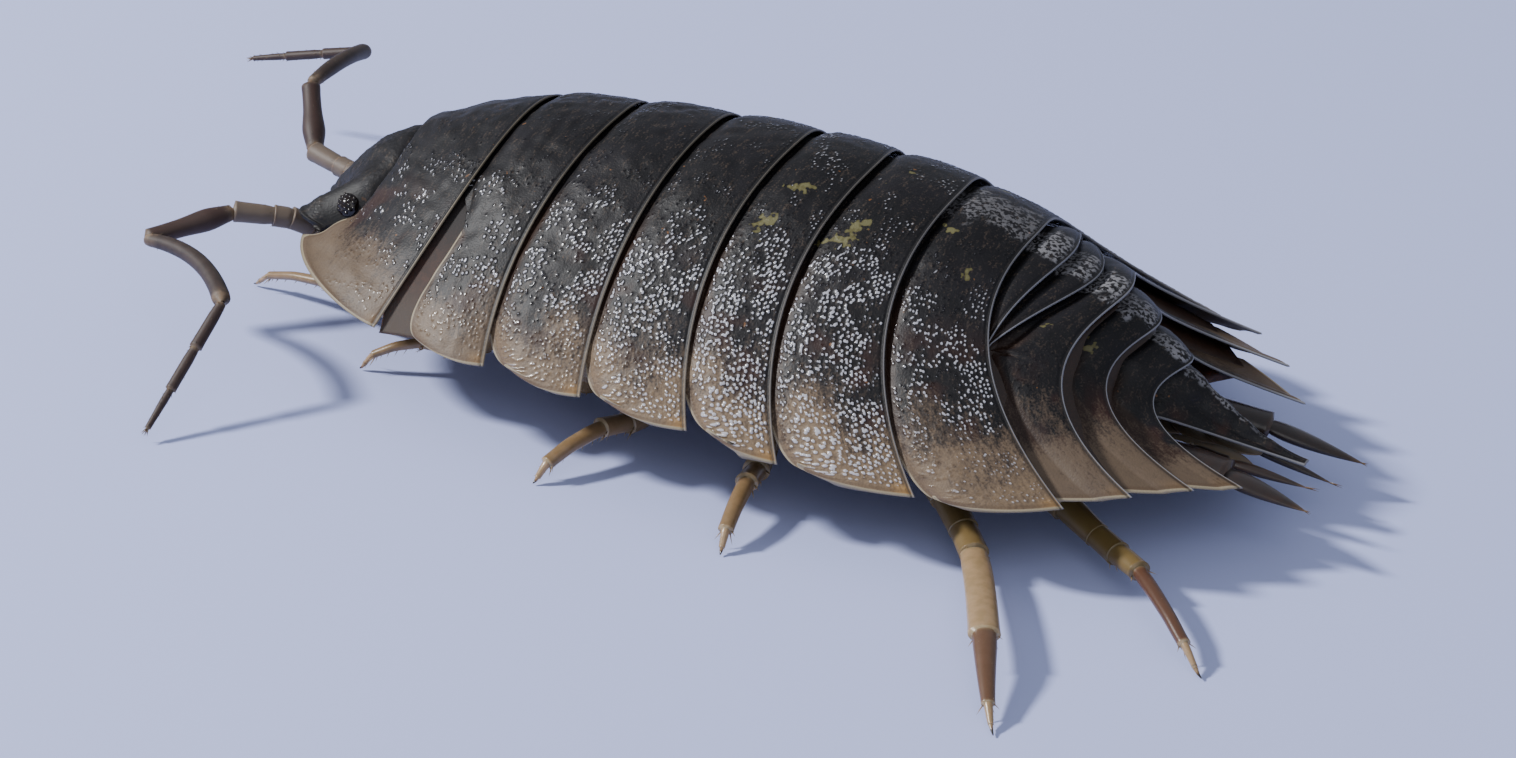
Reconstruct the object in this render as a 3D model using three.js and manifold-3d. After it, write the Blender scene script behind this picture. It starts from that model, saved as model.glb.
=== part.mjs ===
// A common shiny woodlouse, life size, walking.
// Lengths are in mm. +Z is up, the head points to -X and the animal's left side to -Y.
// The body is laid out with the brow at x = 0 and is moved to the middle of its own box at the end.
import * as THREE from 'three';
import { mergeVertices } from 'three/addons/utils/BufferGeometryUtils.js';
import Module from 'manifold-3d';

const wasm = await Module();
wasm.setup();

// Driving dimensions of the whole body
const BODY_LENGTH = 16;
const TO_BOX_CENTRE = [-6.25, 1.33, 0];
const CUT = 0.14;
const STEP = 0.13;
const CROWN = 0.04;
const BELLY_HEIGHT = 1.2;
const BELLY_BOW = 0.12;
const PLATE_IN = 0.62;
const PLATE_OUT = 0.78;
const PLATE_THICK = 0.38;
const RIM_THICK = 0.16;
const ARCH_POWER = 2.1;
const ARCH_FLARE = 0.13;
const ROUND_FROM = 0.86;
const NOTCH_FROM = 0.55;
// Columns from the middle to each side, how much closer they stand at the sides, and rows
const ACROSS = 12;
const CROWDING = 1.25;
const ALONG = 5;
const LIMB_SIDES = 8;
// Direction from which the rings of a limb are turned
const LIMB_SIDEWAYS = [0.3, 0.2, 1];
// Makes share squared times (1 - share) reach 1 at its peak
const BOW_PEAK = 6.75;

// Hind edge of each plate. mid and top: place and height on the back. tip, half and low: place, half width
// and height of the hind corner. sweep: how late the edge turns back. bow: how far it bends forward between.
// notch: room in front of the side lobe. round: radius of its front corner. bulge and sag: its lower edge.
const TRUNK = [
  { name: 'pereonite_1', mid: 3.4, top: 3.84, tip: 2.6, half: 3.58, low: 1.42, sweep: 2.4, bow: 0.05,
    notch: 0, round: 0, bulge: 0.36, sag: 0 },
  { name: 'pereonite_2', mid: 4.85, top: 4.03, tip: 4.55, half: 3.86, low: 1.4, sweep: 2.2, bow: 0.25,
    notch: 0.22, round: 0.35, bulge: 0.16, sag: 0.02 },
  { name: 'pereonite_3', mid: 6.3, top: 4.15, tip: 6.2, half: 4.04, low: 1.4, sweep: 2.5, bow: 0.22,
    notch: 0.1, round: 0.4, bulge: 0.12, sag: 0.02 },
  { name: 'pereonite_4', mid: 7.7, top: 4.2, tip: 7.95, half: 4.15, low: 1.36, sweep: 2.9, bow: 0.3,
    notch: 0, round: 0.35, bulge: 0.12, sag: 0.02 },
  { name: 'pereonite_5', mid: 9, top: 4.17, tip: 9.4, half: 4.2, low: 1.22, sweep: 3.1, bow: 0.36,
    notch: 0, round: 0.35, bulge: 0.1, sag: 0 },
  { name: 'pereonite_6', mid: 10.35, top: 4.05, tip: 11.45, half: 4.02, low: 1.16, sweep: 3.2, bow: 0.32,
    notch: 0, round: 0.3, bulge: 0.14, sag: 0 },
  { name: 'pereonite_7', mid: 11.6, top: 3.7, tip: 13.5, half: 3.52, low: 1.3, sweep: 2.9, bow: 0.34,
    notch: 0, round: 0.25, bulge: 0.22, sag: 0 },
];
// The first two pleon plates have no side lobes: their ends pass under the last trunk plate.
const COLLARS = [
  { name: 'pleonite_1', reach: 0.54, drop: 0.22 },
  { name: 'pleonite_2', reach: 0.98, drop: 0.46 },
];
const COLLAR_END = 0.6;
const COLLAR_LEAST = 0.16;
const PLEON = [
  { name: 'pleonite_3', mid: 13.06, top: 3.1, tip: 14.32, half: 2.98, low: 1.45, sweep: 3.9, bow: 0.5,
    notch: 0, round: 0.14, bulge: 0.04, sag: 0 },
  { name: 'pleonite_4', mid: 13.56, top: 2.68, tip: 15, half: 2.24, low: 1.4, sweep: 3.8, bow: 0.5,
    notch: 0, round: 0.1, bulge: 0.04, sag: 0 },
  { name: 'pleonite_5', mid: 14.12, top: 2.22, tip: 15.5, half: 1.5, low: 1.24, sweep: 3.8, bow: 0.45,
    notch: 0, round: 0.08, bulge: 0.04, sag: 0 },
];

// Head: a blunt dome set in a bay of the first trunk plate. The brow is its front edge, with a middle lobe,
// a dip over each feeler and a round lobe in front of each eye.
const BAY = { start: 0.3, depth: 1.34, power: 3, half: 1.82, top: 3.22, low: 1.45, fall: 0.8 };
const HEAD = { reach: 0.97, front: 0.05, dip: 0.3, dipFrom: 0.05, lobe: 0.12, lobeFrom: 0.55, lobeTo: 0.8,
  lobeRound: 0.4, brow: 1.68, browRise: 0.14, dome: 0.34, domeForward: 0.8, domeSide: 3, chin: 0.95,
  chinBack: 0.3, lobeThick: 0.42, faceIn: 0.62, faceOut: 0.8 };
const EYE = { x: 0.92, y: 1.33, z: 2.14, radius: 0.19, flat: 0.8, turn: 0.7, socket: 0.05,
  around: 14, rows: 10 };

// Tail shield, and the forked feet beside it
const TELSON = { reach: 0.62, tip: BODY_LENGTH, tipHalf: 0.12, tipHeight: 1.05, taper: 1.6, fall: 1.35,
  thick: 0.25, crown: 0.1 };
const UROPOD = [
  [14.05, 0.78, 1.1, 0.18],
  [14.5, 0.88, 1.08, 0.25],
  [15, 0.92, 1.04, 0.25],
  [15.15, 0.94, 1.02, 0.18],
  [15.5, 0.99, 0.98, 0.22],
  [16, 1.1, 0.9, 0.16],
  [16.5, 1.24, 0.82, 0.04],
];
// The left fork is held a little higher and reaches less far than the right one
const FORK_LIFT = { left: 0.12, right: -0.22 };
const FORK_REACH = { left: 0.94, right: 1 };
const ENDOPOD = [
  [14.3, 0.3, 0.98, 0.13],
  [15, 0.38, 0.92, 0.15],
  [15.7, 0.44, 0.84, 0.13],
  [16.3, 0.47, 0.76, 0.03],
];

// One leg from hip to claw: share of the way to the foot, height, radius
const LEG_COURSE = [
  [0, 1.06, 0.24],
  [0.1, 0.84, 0.26],
  [0.21, 0.58, 0.24],
  [0.25, 0.52, 0.2],
  [0.34, 0.46, 0.24],
  [0.38, 0.47, 0.2],
  [0.5, 0.52, 0.24],
  [0.54, 0.54, 0.18],
  [0.65, 0.57, 0.22],
  [0.76, 0.55, 0.2],
  [0.79, 0.52, 0.14],
  [0.88, 0.36, 0.16],
  [0.94, 0.24, 0.12],
  [0.97, 0.08, 0.1],
  [1, 0.04, 0.07],
];
// Hip and foot of each leg, and how far it bows back and out on the way. The left legs stride, and the right
// ones are drawn in beside the body.
const LEGS = {
  left: [
    { hip: [2.5, 1.6], foot: [-1, 0.7], bow: [0, -0.1] },
    { hip: [3.9, 1.9], foot: [1.8, 2.45], bow: [0, -0.2] },
    { hip: [5.4, 1.95], foot: [4.3, 1.3], bow: [0.3, 0.2] },
    { hip: [6.9, 2], foot: [5.7, 4.45], bow: [0, -0.2] },
    { hip: [8.35, 2], foot: [8.95, 5.04], bow: [0.1, 0] },
    { hip: [10.3, 1.95], foot: [14.15, 7.75], bow: [0.75, 0] },
    { hip: [11.75, 1.8], foot: [16.15, 4.95], bow: [0.85, 0] },
  ],
  right: [
    { hip: [2.5, 1.6], foot: [0.9, 2.3], bow: [0.3, 0.6] },
    { hip: [3.9, 1.9], foot: [2.7, 3.9], bow: [0.6, 0.2] },
    { hip: [5.4, 1.95], foot: [4.4, 4.4], bow: [0.7, 0.2] },
    { hip: [6.9, 2], foot: [6.5, 4.7], bow: [0.5, 0] },
    { hip: [8.35, 2], foot: [8.9, 4.9], bow: [0.6, 0] },
    { hip: [10.1, 1.95], foot: [11.2, 5.1], bow: [1.5, 0] },
    { hip: [11.75, 1.8], foot: [13.2, 4.6], bow: [0.6, 0] },
  ],
};

// Feelers: the joints between their lengths, for the side that each is on
const FEELERS = {
  left: { root: [0.22, 1, 1.45], second: [-0.1, 1.22, 1.62], third: [-0.85, 1.68, 1.73],
    knee: [-1.77, 2.75, 1.47], bend: [-0.6, 3.25, 1.62], elbow: [0.39, 4.2, 1.55], tip: [0.17, 6.1, 0.16] },
  right: { root: [0.22, 1, 1.45], second: [-0.3, 1.15, 1.4], third: [-1.15, 1.5, 1.43],
    knee: [-1.76, 2.5, 2.09], bend: [-1.75, 3.5, 2.12], elbow: [-1.88, 4.6, 1.87], tip: [-4, 4.5, 1.3] },
};
const FEELER_RADIUS = { root: 0.25, fourth: 0.22, fifth: 0.2, lash: 0.17, lashEnd: 0.12, tip: 0.05 };
const FEELER_NECK = 0.8;
const FEELER_GAP = 0.06;
// How far before and after a bend within a node the straight lengths stop
const FEELER_TURN = 0.1;
const BASE_TURN = 0.05;

const material = (name, color, roughness) => new THREE.MeshStandardMaterial({ name, color, roughness });
const SHELL = material('shell', '#3a3531', 0.4);
const PALE = material('pale_limb', '#c3ab88', 0.5);
const FEELER = material('feeler', '#5b4c41', 0.5);
const EYE_BLACK = material('eye_black', '#120f0e', 0.25);
const TAIL = material('tail_brown', '#4a362a', 0.45);

const group = new THREE.Group();
group.name = 'woodlouse';

const mix = (a, b, share) => a + (b - a) * share;

function smooth(from, to, value) {
  const share = Math.min(1, Math.max(0, (value - from) / (to - from)));
  return share * share * (3 - 2 * share);
}

function addNode(name, geometry, finish) {
  geometry.translate(...TO_BOX_CENTRE);
  geometry.computeVertexNormals();
  const mesh = new THREE.Mesh(geometry, finish.clone());
  mesh.name = name;
  group.add(mesh);
}

function geometryFrom(points, triangles) {
  const geometry = new THREE.BufferGeometry();
  geometry.setAttribute('position', new THREE.Float32BufferAttribute(points.flat(), 3));
  geometry.setIndex(triangles);
  return geometry;
}

// A closed plate from two sheets of rows by columns, joined round the rim.
// Rows run to +X and columns to +Y, and both sheets share one way of splitting the quads.
function slab(rows, columns, upper, lower) {
  const points = [];
  for (const sheet of [upper, lower]) {
    for (let row = 0; row <= rows; row += 1) {
      for (let column = 0; column <= columns; column += 1) {
        points.push(sheet(row, column));
      }
    }
  }
  const wide = columns + 1;
  const under = (rows + 1) * wide;
  const triangles = [];
  const quad = (a, b, c, d) => triangles.push(a, b, c, a, c, d);
  for (let row = 0; row < rows; row += 1) {
    for (let column = 0; column < columns; column += 1) {
      const a = row * wide + column;
      const b = a + wide;
      quad(a, b, b + 1, a + 1);
      triangles.push(under + a, under + b + 1, under + b, under + a, under + a + 1, under + b + 1);
    }
  }
  for (let row = 0; row < rows; row += 1) {
    const left = row * wide;
    const right = left + columns;
    quad(left, under + left, under + left + wide, left + wide);
    quad(right, right + wide, under + right + wide, under + right);
  }
  for (let column = 0; column < columns; column += 1) {
    const hind = rows * wide + column;
    quad(column, column + 1, under + column + 1, under + column);
    quad(hind, under + hind, under + hind + 1, hind + 1);
  }
  return geometryFrom(points, triangles);
}

// Column number to a place from -1 at the left edge to 1 at the right edge, closer together at the edges
function across(column) {
  const share = Math.abs(column - ACROSS) / ACROSS;
  return Math.sign(column - ACROSS) * (1 - (1 - share) ** CROWDING);
}

// Height of the arched cross section: 1 on the back, 0 at the side edge, slightly flared
function arch(out) {
  const dome = 1 - out ** ARCH_POWER;
  const flare = 0.5 * (1 + Math.cos(Math.PI * out));
  return mix(dome, flare, ARCH_FLARE);
}

function hindEdge(plate, out) {
  const bend = BOW_PEAK * out * out * (1 - out);
  return [
    plate.mid + (plate.tip - plate.mid) * out ** plate.sweep - plate.bow * bend,
    plate.half * out,
    plate.low + (plate.top - plate.low) * arch(out),
  ];
}

// Front edge of a plate: the hind edge before it, one cut further back and one step lower,
// with the notch and the round corner of the side lobe
function frontEdge(plate, before, out) {
  const [x, y, z] = before(out);
  const notch = plate.notch * smooth(NOTCH_FROM, 1, out);
  const turn = Math.max(0, (out - ROUND_FROM) / (1 - ROUND_FROM));
  const corner = plate.round * (1 - Math.sqrt(1 - turn * turn));
  return [x + CUT + notch + corner, y, z - STEP];
}

// A curved sheet ruled from a front edge to a hind edge, crowned between them, with a full side margin
function plateTop(front, hind, plate) {
  return (along, out) => {
    const swell = 4 * along * (1 - along);
    const margin = swell * out ** 4;
    const f = front(out);
    const h = hind(out);
    return [
      mix(f[0], h[0], along),
      mix(f[1], h[1], along) + margin * plate.bulge,
      mix(f[2], h[2], along) + swell * CROWN - margin * (plate.sag + CROWN),
    ];
  };
}

// Underside: the belly in the middle, and the thin lobe outside it
function underside(topHeight, out) {
  const thick = mix(PLATE_THICK, RIM_THICK, smooth(PLATE_OUT, 1, out));
  const belly = BELLY_HEIGHT + BELLY_BOW * out * out;
  return mix(belly, topHeight - thick, smooth(PLATE_IN, PLATE_OUT, out));
}

function plateNode(plate, front, hind, finish, widest = 1) {
  const top = plateTop(front, hind, plate);
  const place = (row, column) => {
    const side = across(column);
    const [x, y, z] = top(row / ALONG, Math.abs(side) * widest);
    return [x, Math.sign(side) * y, z];
  };
  const below = (row, column) => {
    const [x, y, z] = place(row, column);
    return [x, y, underside(z, Math.abs(across(column)) * widest)];
  };
  addNode(plate.name, slab(ALONG, 2 * ACROSS, place, below), finish);
}

// The bay in which the head sits: front edge of the first trunk plate
function bayEdge(out, inset = 0) {
  const reach = (1 - out ** BAY.power) ** (1 / BAY.power);
  const fall = (1 - out * out) ** BAY.fall;
  return [
    BAY.start + (BAY.depth - inset) * reach,
    (BAY.half - inset) * out,
    mix(BAY.low, BAY.top, fall),
  ];
}

const wrap = (geometry) => {
  const { position } = geometry.attributes;
  const mesh = new wasm.Mesh({
    numProp: 3,
    vertProperties: new Float32Array(position.array),
    triVerts: new Uint32Array(geometry.index.array),
  });
  return new wasm.Manifold(mesh);
};

function unwrap(solid) {
  const mesh = solid.getMesh();
  const points = Array.from(mesh.vertProperties);
  const geometry = new THREE.BufferGeometry();
  geometry.setAttribute('position', new THREE.Float32BufferAttribute(points, 3));
  geometry.setIndex(Array.from(mesh.triVerts));
  return geometry;
}

// A closed limb: rings round a chain of stations, each [x, y, z, radius], none of it below the floor
function limb(stations) {
  const middles = stations.map(([x, y, z]) => new THREE.Vector3(x, y, z));
  const points = [];
  const triangles = [];
  const last = stations.length - 1;
  const side = new THREE.Vector3(...LIMB_SIDEWAYS);
  for (let i = 0; i <= last; i += 1) {
    const ahead = middles[Math.min(i + 1, last)].clone().sub(middles[i]).normalize();
    const behind = middles[i].clone().sub(middles[Math.max(i - 1, 0)]).normalize();
    const way = ahead.add(behind).normalize();
    side.addScaledVector(way, -side.dot(way)).normalize();
    const upper = way.clone().cross(side);
    for (let k = 0; k < LIMB_SIDES; k += 1) {
      const angle = (2 * Math.PI * (k + 0.5)) / LIMB_SIDES;
      const spoke = side.clone().multiplyScalar(Math.cos(angle)).addScaledVector(upper, Math.sin(angle));
      const point = middles[i].clone().addScaledVector(spoke, stations[i][3]);
      points.push([point.x, point.y, Math.max(point.z, 0)]);
    }
  }
  for (let i = 0; i < last; i += 1) {
    for (let k = 0; k < LIMB_SIDES; k += 1) {
      const a = i * LIMB_SIDES + k;
      const b = i * LIMB_SIDES + ((k + 1) % LIMB_SIDES);
      triangles.push(a, b, b + LIMB_SIDES, a, b + LIMB_SIDES, a + LIMB_SIDES);
    }
  }
  for (let k = 1; k < LIMB_SIDES - 1; k += 1) {
    const end = last * LIMB_SIDES;
    triangles.push(0, k + 1, k, end, end + k, end + k + 1);
  }
  return geometryFrom(points, triangles);
}

function cut(geometry, tools) {
  const rest = tools.reduce((solid, tool) => solid.subtract(wrap(tool)), wrap(geometry));
  const pieces = rest.decompose();
  pieces.sort((one, other) => other.volume() - one.volume());
  return unwrap(pieces[0]);
}

let before = (out) => bayEdge(out);
for (const plate of TRUNK) {
  const last = before;
  const hind = (out) => hindEdge(plate, out);
  const front = plate === TRUNK[0] ? last : (out) => frontEdge(plate, last, out);
  plateNode(plate, front, hind, SHELL);
  before = hind;
}

// Hind edge of a collar: it leaves the last trunk plate's edge in the middle and rejoins it at the sides
const trunkEnd = before;
function collarEdge(collar, out) {
  const [x, y, z] = trunkEnd(out);
  const open = Math.max(0, 1 - (out / COLLAR_END) ** 2);
  return [x + collar.reach * open, y, z - collar.drop * open];
}

for (const collar of COLLARS) {
  const last = before;
  const hind = (out) => {
    const [x, y, z] = collarEdge(collar, out);
    return [Math.max(x, last(out)[0] + CUT + COLLAR_LEAST), y, z];
  };
  const front = (out) => {
    const [x, y, z] = last(out);
    return [x + CUT, y, z - STEP];
  };
  plateNode({ ...collar, bulge: 0, sag: 0 }, front, hind, SHELL, COLLAR_END);
  before = hind;
}

// Past the collars' ends the third pleon plate meets the last trunk plate itself
const collarEnd = before;
before = (out) => (out < COLLAR_END ? collarEnd(out) : trunkEnd(out));
for (const plate of PLEON) {
  const last = before;
  const hind = (out) => hindEdge(plate, out);
  plateNode(plate, (out) => frontEdge(plate, last, out), hind, SHELL);
  before = hind;
}

// Head
const bayReach = (out) => bayEdge(out * HEAD.reach, CUT);
function brow(out) {
  const dip = HEAD.dip * smooth(HEAD.dipFrom, HEAD.lobeFrom, out);
  const lobe = HEAD.lobe * smooth(HEAD.lobeFrom, HEAD.lobeTo, out);
  const turn = Math.max(0, (out - HEAD.lobeTo) / (1 - HEAD.lobeTo));
  const corner = HEAD.lobeRound * (1 - Math.sqrt(1 - turn * turn));
  return [HEAD.front + dip - lobe + corner, bayReach(out)[1], HEAD.brow + HEAD.browRise * out];
}

function headTop(along, out) {
  const from = brow(out);
  const to = bayReach(out);
  const dome = HEAD.dome * Math.sin(Math.PI * along ** HEAD.domeForward) * (1 - out ** HEAD.domeSide);
  return [mix(from[0], to[0], along), from[1], mix(from[2], to[2], along) + dome];
}

function headPoint(row, column) {
  const side = across(column);
  const [x, y, z] = headTop(row / ALONG, Math.abs(side));
  return [x, Math.sign(side) * y, z];
}

function chinPoint(row, column) {
  const [x, y, z] = headPoint(row, column);
  const face = 1 - smooth(HEAD.faceIn, HEAD.faceOut, Math.abs(across(column)));
  const back = HEAD.chinBack * face * (1 - row / ALONG);
  return [x + back, y, mix(z - HEAD.lobeThick, HEAD.chin, face)];
}

function eyeball(side, extra) {
  const ball = new THREE.SphereGeometry(EYE.radius + extra, EYE.around, EYE.rows);
  ball.deleteAttribute('normal');
  ball.deleteAttribute('uv');
  ball.scale(1, EYE.flat, 1);
  ball.rotateX(side * -EYE.turn);
  ball.translate(EYE.x, side * EYE.y, EYE.z);
  return mergeVertices(ball, 1e-5);
}

const SIDES = { left: -1, right: 1 };
const sockets = Object.values(SIDES).map((side) => eyeball(side, EYE.socket));
addNode('head', cut(slab(ALONG, 2 * ACROSS, headPoint, chinPoint), sockets), SHELL);
for (const [name, side] of Object.entries(SIDES)) {
  addNode(`eye_${name}`, eyeball(side, 0), EYE_BLACK);
}

// Tail shield: from the hind edge of the last pleon plate to a narrow tip, with hollow sides
const tailStart = before;
function telsonTop(row, column) {
  const side = across(column);
  const along = row / ALONG;
  const [x, y, z] = tailStart(Math.abs(side) * TELSON.reach);
  const narrow = (1 - along) ** TELSON.taper;
  const half = mix(TELSON.tipHalf * Math.abs(side), y, narrow);
  const crown = TELSON.crown * (1 - side * side) * (1 - along);
  return [
    mix(x + CUT, TELSON.tip, along),
    Math.sign(side) * half,
    mix(z - STEP, TELSON.tipHeight, 1 - (1 - along) ** TELSON.fall) + crown,
  ];
}

function telsonUnder(row, column) {
  const [x, y, z] = telsonTop(row, column);
  return [x, y, z - TELSON.thick];
}

addNode('telson', slab(ALONG, 2 * ACROSS, telsonTop, telsonUnder), TAIL);

const onSide = (side, [x, y, z, radius]) => [x, side * y, z, radius];

function fork(name, side, course) {
  const reach = course[course.length - 1][0] - course[0][0];
  return limb(course.map(([x, y, z, radius]) => {
    const share = (x - course[0][0]) / reach;
    const drawnIn = course[0][0] + (x - course[0][0]) * FORK_REACH[name];
    return onSide(side, [drawnIn, y, z + FORK_LIFT[name] * share * share, radius]);
  }));
}

for (const [name, side] of Object.entries(SIDES)) {
  addNode(`uropod_${name}`, fork(name, side, UROPOD), TAIL);
  addNode(`endopod_${name}`, fork(name, side, ENDOPOD), TAIL);
}

// Legs
function legStations(side, leg) {
  return LEG_COURSE.map(([share, height, radius]) => {
    const bend = BOW_PEAK * share * (1 - share) ** 2;
    const x = mix(leg.hip[0], leg.foot[0], share) + leg.bow[0] * bend;
    const y = mix(leg.hip[1], leg.foot[1], share) + leg.bow[1] * bend;
    return [x, side * y, height, radius];
  });
}

for (const [name, side] of Object.entries(SIDES)) {
  LEGS[name].forEach((leg, i) => addNode(`leg_${name}_${i + 1}`, limb(legStations(side, leg)), PALE));
}

// Feelers: each length ends at its joint, and the next one starts clear of it
function between(from, to, radii, start, end = 0) {
  const length = Math.hypot(...from.map((value, axis) => to[axis] - value));
  return radii.map((radius, i) => {
    const share = mix(start / length, 1 - end / length, i / (radii.length - 1));
    return [...from.map((value, axis) => mix(value, to[axis], share)), radius];
  });
}

for (const [name, side] of Object.entries(SIDES)) {
  const feeler = FEELERS[name];
  const { root, fourth, fifth, lash, lashEnd, tip } = FEELER_RADIUS;
  const neck = (radius) => radius * FEELER_NECK;
  const add = (part, stations) => {
    addNode(`antenna_${name}_${part}`, limb(stations.map((station) => onSide(side, station))), FEELER);
  };
  add('base', [
    ...between(feeler.root, feeler.second, [neck(root), root], 0, BASE_TURN),
    ...between(feeler.second, feeler.third, [neck(root), root, neck(root)], BASE_TURN, FEELER_GAP),
  ]);
  const longLength = [neck(fourth), fourth, fourth, neck(fourth)];
  add('article_4', between(feeler.third, feeler.knee, longLength, FEELER_GAP));
  add('article_5', [
    ...between(feeler.knee, feeler.bend, [neck(fifth), fifth], fourth + FEELER_GAP, FEELER_TURN),
    ...between(feeler.bend, feeler.elbow, [fifth, fifth, neck(fifth)], FEELER_TURN),
  ]);
  add('flagellum', between(feeler.elbow, feeler.tip, [lash, lash, lashEnd, tip], fifth + FEELER_GAP));
}

export default group;
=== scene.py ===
"""A common shiny woodlouse, life size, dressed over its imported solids.

Lengths are in mm in the animal's own layout: the brow at x = 0, the tail towards +X, its left side towards -Y and
the floor at z = 0. put() moves them to the row frame and turns them to metres.
"""
import math

import bpy
import numpy as np
from bpy.props import FloatProperty, FloatVectorProperty, PointerProperty
from mathutils import Matrix, Vector


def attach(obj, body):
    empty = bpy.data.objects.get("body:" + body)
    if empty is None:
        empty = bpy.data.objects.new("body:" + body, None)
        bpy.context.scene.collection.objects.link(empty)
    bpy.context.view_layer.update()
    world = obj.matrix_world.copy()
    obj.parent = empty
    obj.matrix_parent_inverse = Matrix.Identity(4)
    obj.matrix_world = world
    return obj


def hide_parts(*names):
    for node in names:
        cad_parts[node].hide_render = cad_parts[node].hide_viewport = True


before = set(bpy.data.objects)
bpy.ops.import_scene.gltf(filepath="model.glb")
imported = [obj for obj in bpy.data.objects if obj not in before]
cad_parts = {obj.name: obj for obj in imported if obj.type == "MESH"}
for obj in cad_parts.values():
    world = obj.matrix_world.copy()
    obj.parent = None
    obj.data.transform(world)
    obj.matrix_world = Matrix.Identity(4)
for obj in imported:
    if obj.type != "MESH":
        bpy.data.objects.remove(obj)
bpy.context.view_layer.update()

bl_info = {
    "name": "Woodlouse",
    "version": (1, 0, 0),
    "blender": (4, 5, 0),
    "location": "View3D > Sidebar > Woodlouse",
    "description": "Shell plates, head, limbs and tail of a life-size woodlouse",
    "category": "Add Mesh",
}

MM = 0.001
TO_BOX_CENTRE = np.array([-6.25, 1.33, 0.0])
BODY = "root"

# Cross section and joints of the plates
ARCH_POWER = 2.1
ARCH_FLARE = 0.13
ROUND_FROM = 0.86
# A distance in mm that means far from an edge
AWAY = 9.0
BEND = 6.75

# Columns of the plate tables. The first ones give the hind edge, as in the solids: place and height on the back,
# place, half width and height of the hind corner, how late the edge turns back, and how far it bows forward.
# A collar has how far it reaches behind the last trunk plate and how far it drops below it instead.
EDGE = ("name", "mid", "top", "tip", "half", "low", "sweep", "bow")
COLLAR_EDGE = ("name", "reach", "drop")
# free: room in front of the side lobe. round: radius of its front corner. bulge and sag: its lower edge.
FORM = ("free", "round", "bulge", "sag")
# lobe: strength of the grains on the side lobe. grey: how grey the clear hind line is. bare: share of places without
# a grain. line: strength of the hind line on the back and at the side. pale: share of the way out at which the side
# turns pale. tan: how pale it gets. grain and dents: strength of granules and hollows. The last column: the dull
# pale stripe along the keel, a painted highlight.
LOOKS = ("lobe", "grey", "bare", "line", "pale", "tan", "grain", "dents", "chalk")


def plate_table(columns, rows):
    """One dictionary for each row, under the names of the columns."""
    return [dict(zip(columns + FORM + LOOKS, row)) for row in rows]


TRUNK = plate_table(EDGE, [
    ("pereonite_1", 3.4, 3.84, 2.6, 3.58, 1.42, 2.4, 0.05, 0, 0, 0.36, 0,
     0.5, 0, 0.78, (0.25, 0.7), 0.86, 0.25, 0.8, 1.0, 0),
    ("pereonite_2", 4.85, 4.03, 4.55, 3.86, 1.4, 2.2, 0.25, 0.36, 0.35, 0.16, 0.02,
     0.5, 0.1, 0.58, (0.25, 0.7), 0.865, 0.4, 0.9, 1.0, 0),
    ("pereonite_3", 6.3, 4.15, 6.2, 4.04, 1.4, 2.5, 0.22, 0, 0.5, 0.12, 0.02,
     0.6, 0.2, 0.42, (0.3, 0.75), 0.87, 0.7, 0.95, 0.9, 0),
    ("pereonite_4", 7.7, 4.2, 7.95, 4.15, 1.36, 2.9, 0.3, 0, 0.45, 0.12, 0.02,
     0.8, 0.3, 0.35, (0.35, 0.8), 0.85, 0.8, 1.05, 0.7, 0),
    ("pereonite_5", 9, 4.17, 9.4, 4.2, 1.22, 3.1, 0.36, 0, 0.45, 0.1, 0,
     1.3, 0.5, 0.2, (0.4, 0.85), 0.84, 0.85, 1.2, 0.6, 0),
    ("pereonite_6", 10.35, 4.05, 11.45, 4.02, 1.16, 3.2, 0.32, 0, 0.4, 0.14, 0,
     1.15, 0.7, 0.15, (0.45, 0.9), 0.85, 0.85, 1.2, 0.5, 0),
    ("pereonite_7", 11.6, 3.7, 13.5, 3.52, 1.3, 2.9, 0.34, 0, 0.35, 0.22, 0,
     0.7, 0.9, 0.3, (0.6, 0.95), 0.87, 0.6, 0.9, 0.5, 0.3),
])
COLLARS = plate_table(COLLAR_EDGE, [
    ("pleonite_1", 0.54, 0.22, 0, 0, 0, 0,
     0.6, 1.0, 0.6, (0.8, 0.9), 2, 0, 0.15, 0.3, 0.5),
    ("pleonite_2", 0.98, 0.46, 0, 0, 0, 0,
     0.6, 1.0, 0.6, (0.8, 0.9), 2, 0, 0.15, 0.3, 0.5),
])
# Share of the way out at which a collar's end passes under the last trunk plate
COLLAR_END = 0.6
PLEON = plate_table(EDGE, [
    ("pleonite_3", 13.06, 3.1, 14.32, 2.98, 1.45, 3.9, 0.5, 0, 0.14, 0.04, 0,
     0.6, 1.0, 0.55, (0.85, 0.95), 0.84, 0.15, 0.35, 0.4, 0.6),
    ("pleonite_4", 13.56, 2.68, 15, 2.24, 1.4, 3.8, 0.5, 0, 0.1, 0.04, 0,
     0.6, 1.0, 0.55, (0.85, 0.95), 0.84, 0.15, 0.3, 0.4, 0.6),
    ("pleonite_5", 14.12, 2.22, 15.5, 1.5, 1.24, 3.8, 0.45, 0, 0.08, 0.04, 0,
     0.6, 1.0, 0.55, (0.85, 0.95), 0.88, 0.15, 0.3, 0.4, 0.6),
])
# Rows and columns of each plate's outer sheet, and the seeds of its grains and hollows
FIRST_PLATE_ROWS = 140
TRUNK_GRID = (116, 600)
COLLAR_GRID = (40, 240)
PLEON_GRID = (80, 320)
TRUNK_SEED = 100
TAIL_SEED = 200
# Front edge of the first plate, round the head
BAY = dict(start=0.3, depth=1.34, power=3, half=1.82, top=3.22, low=1.64)

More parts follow.
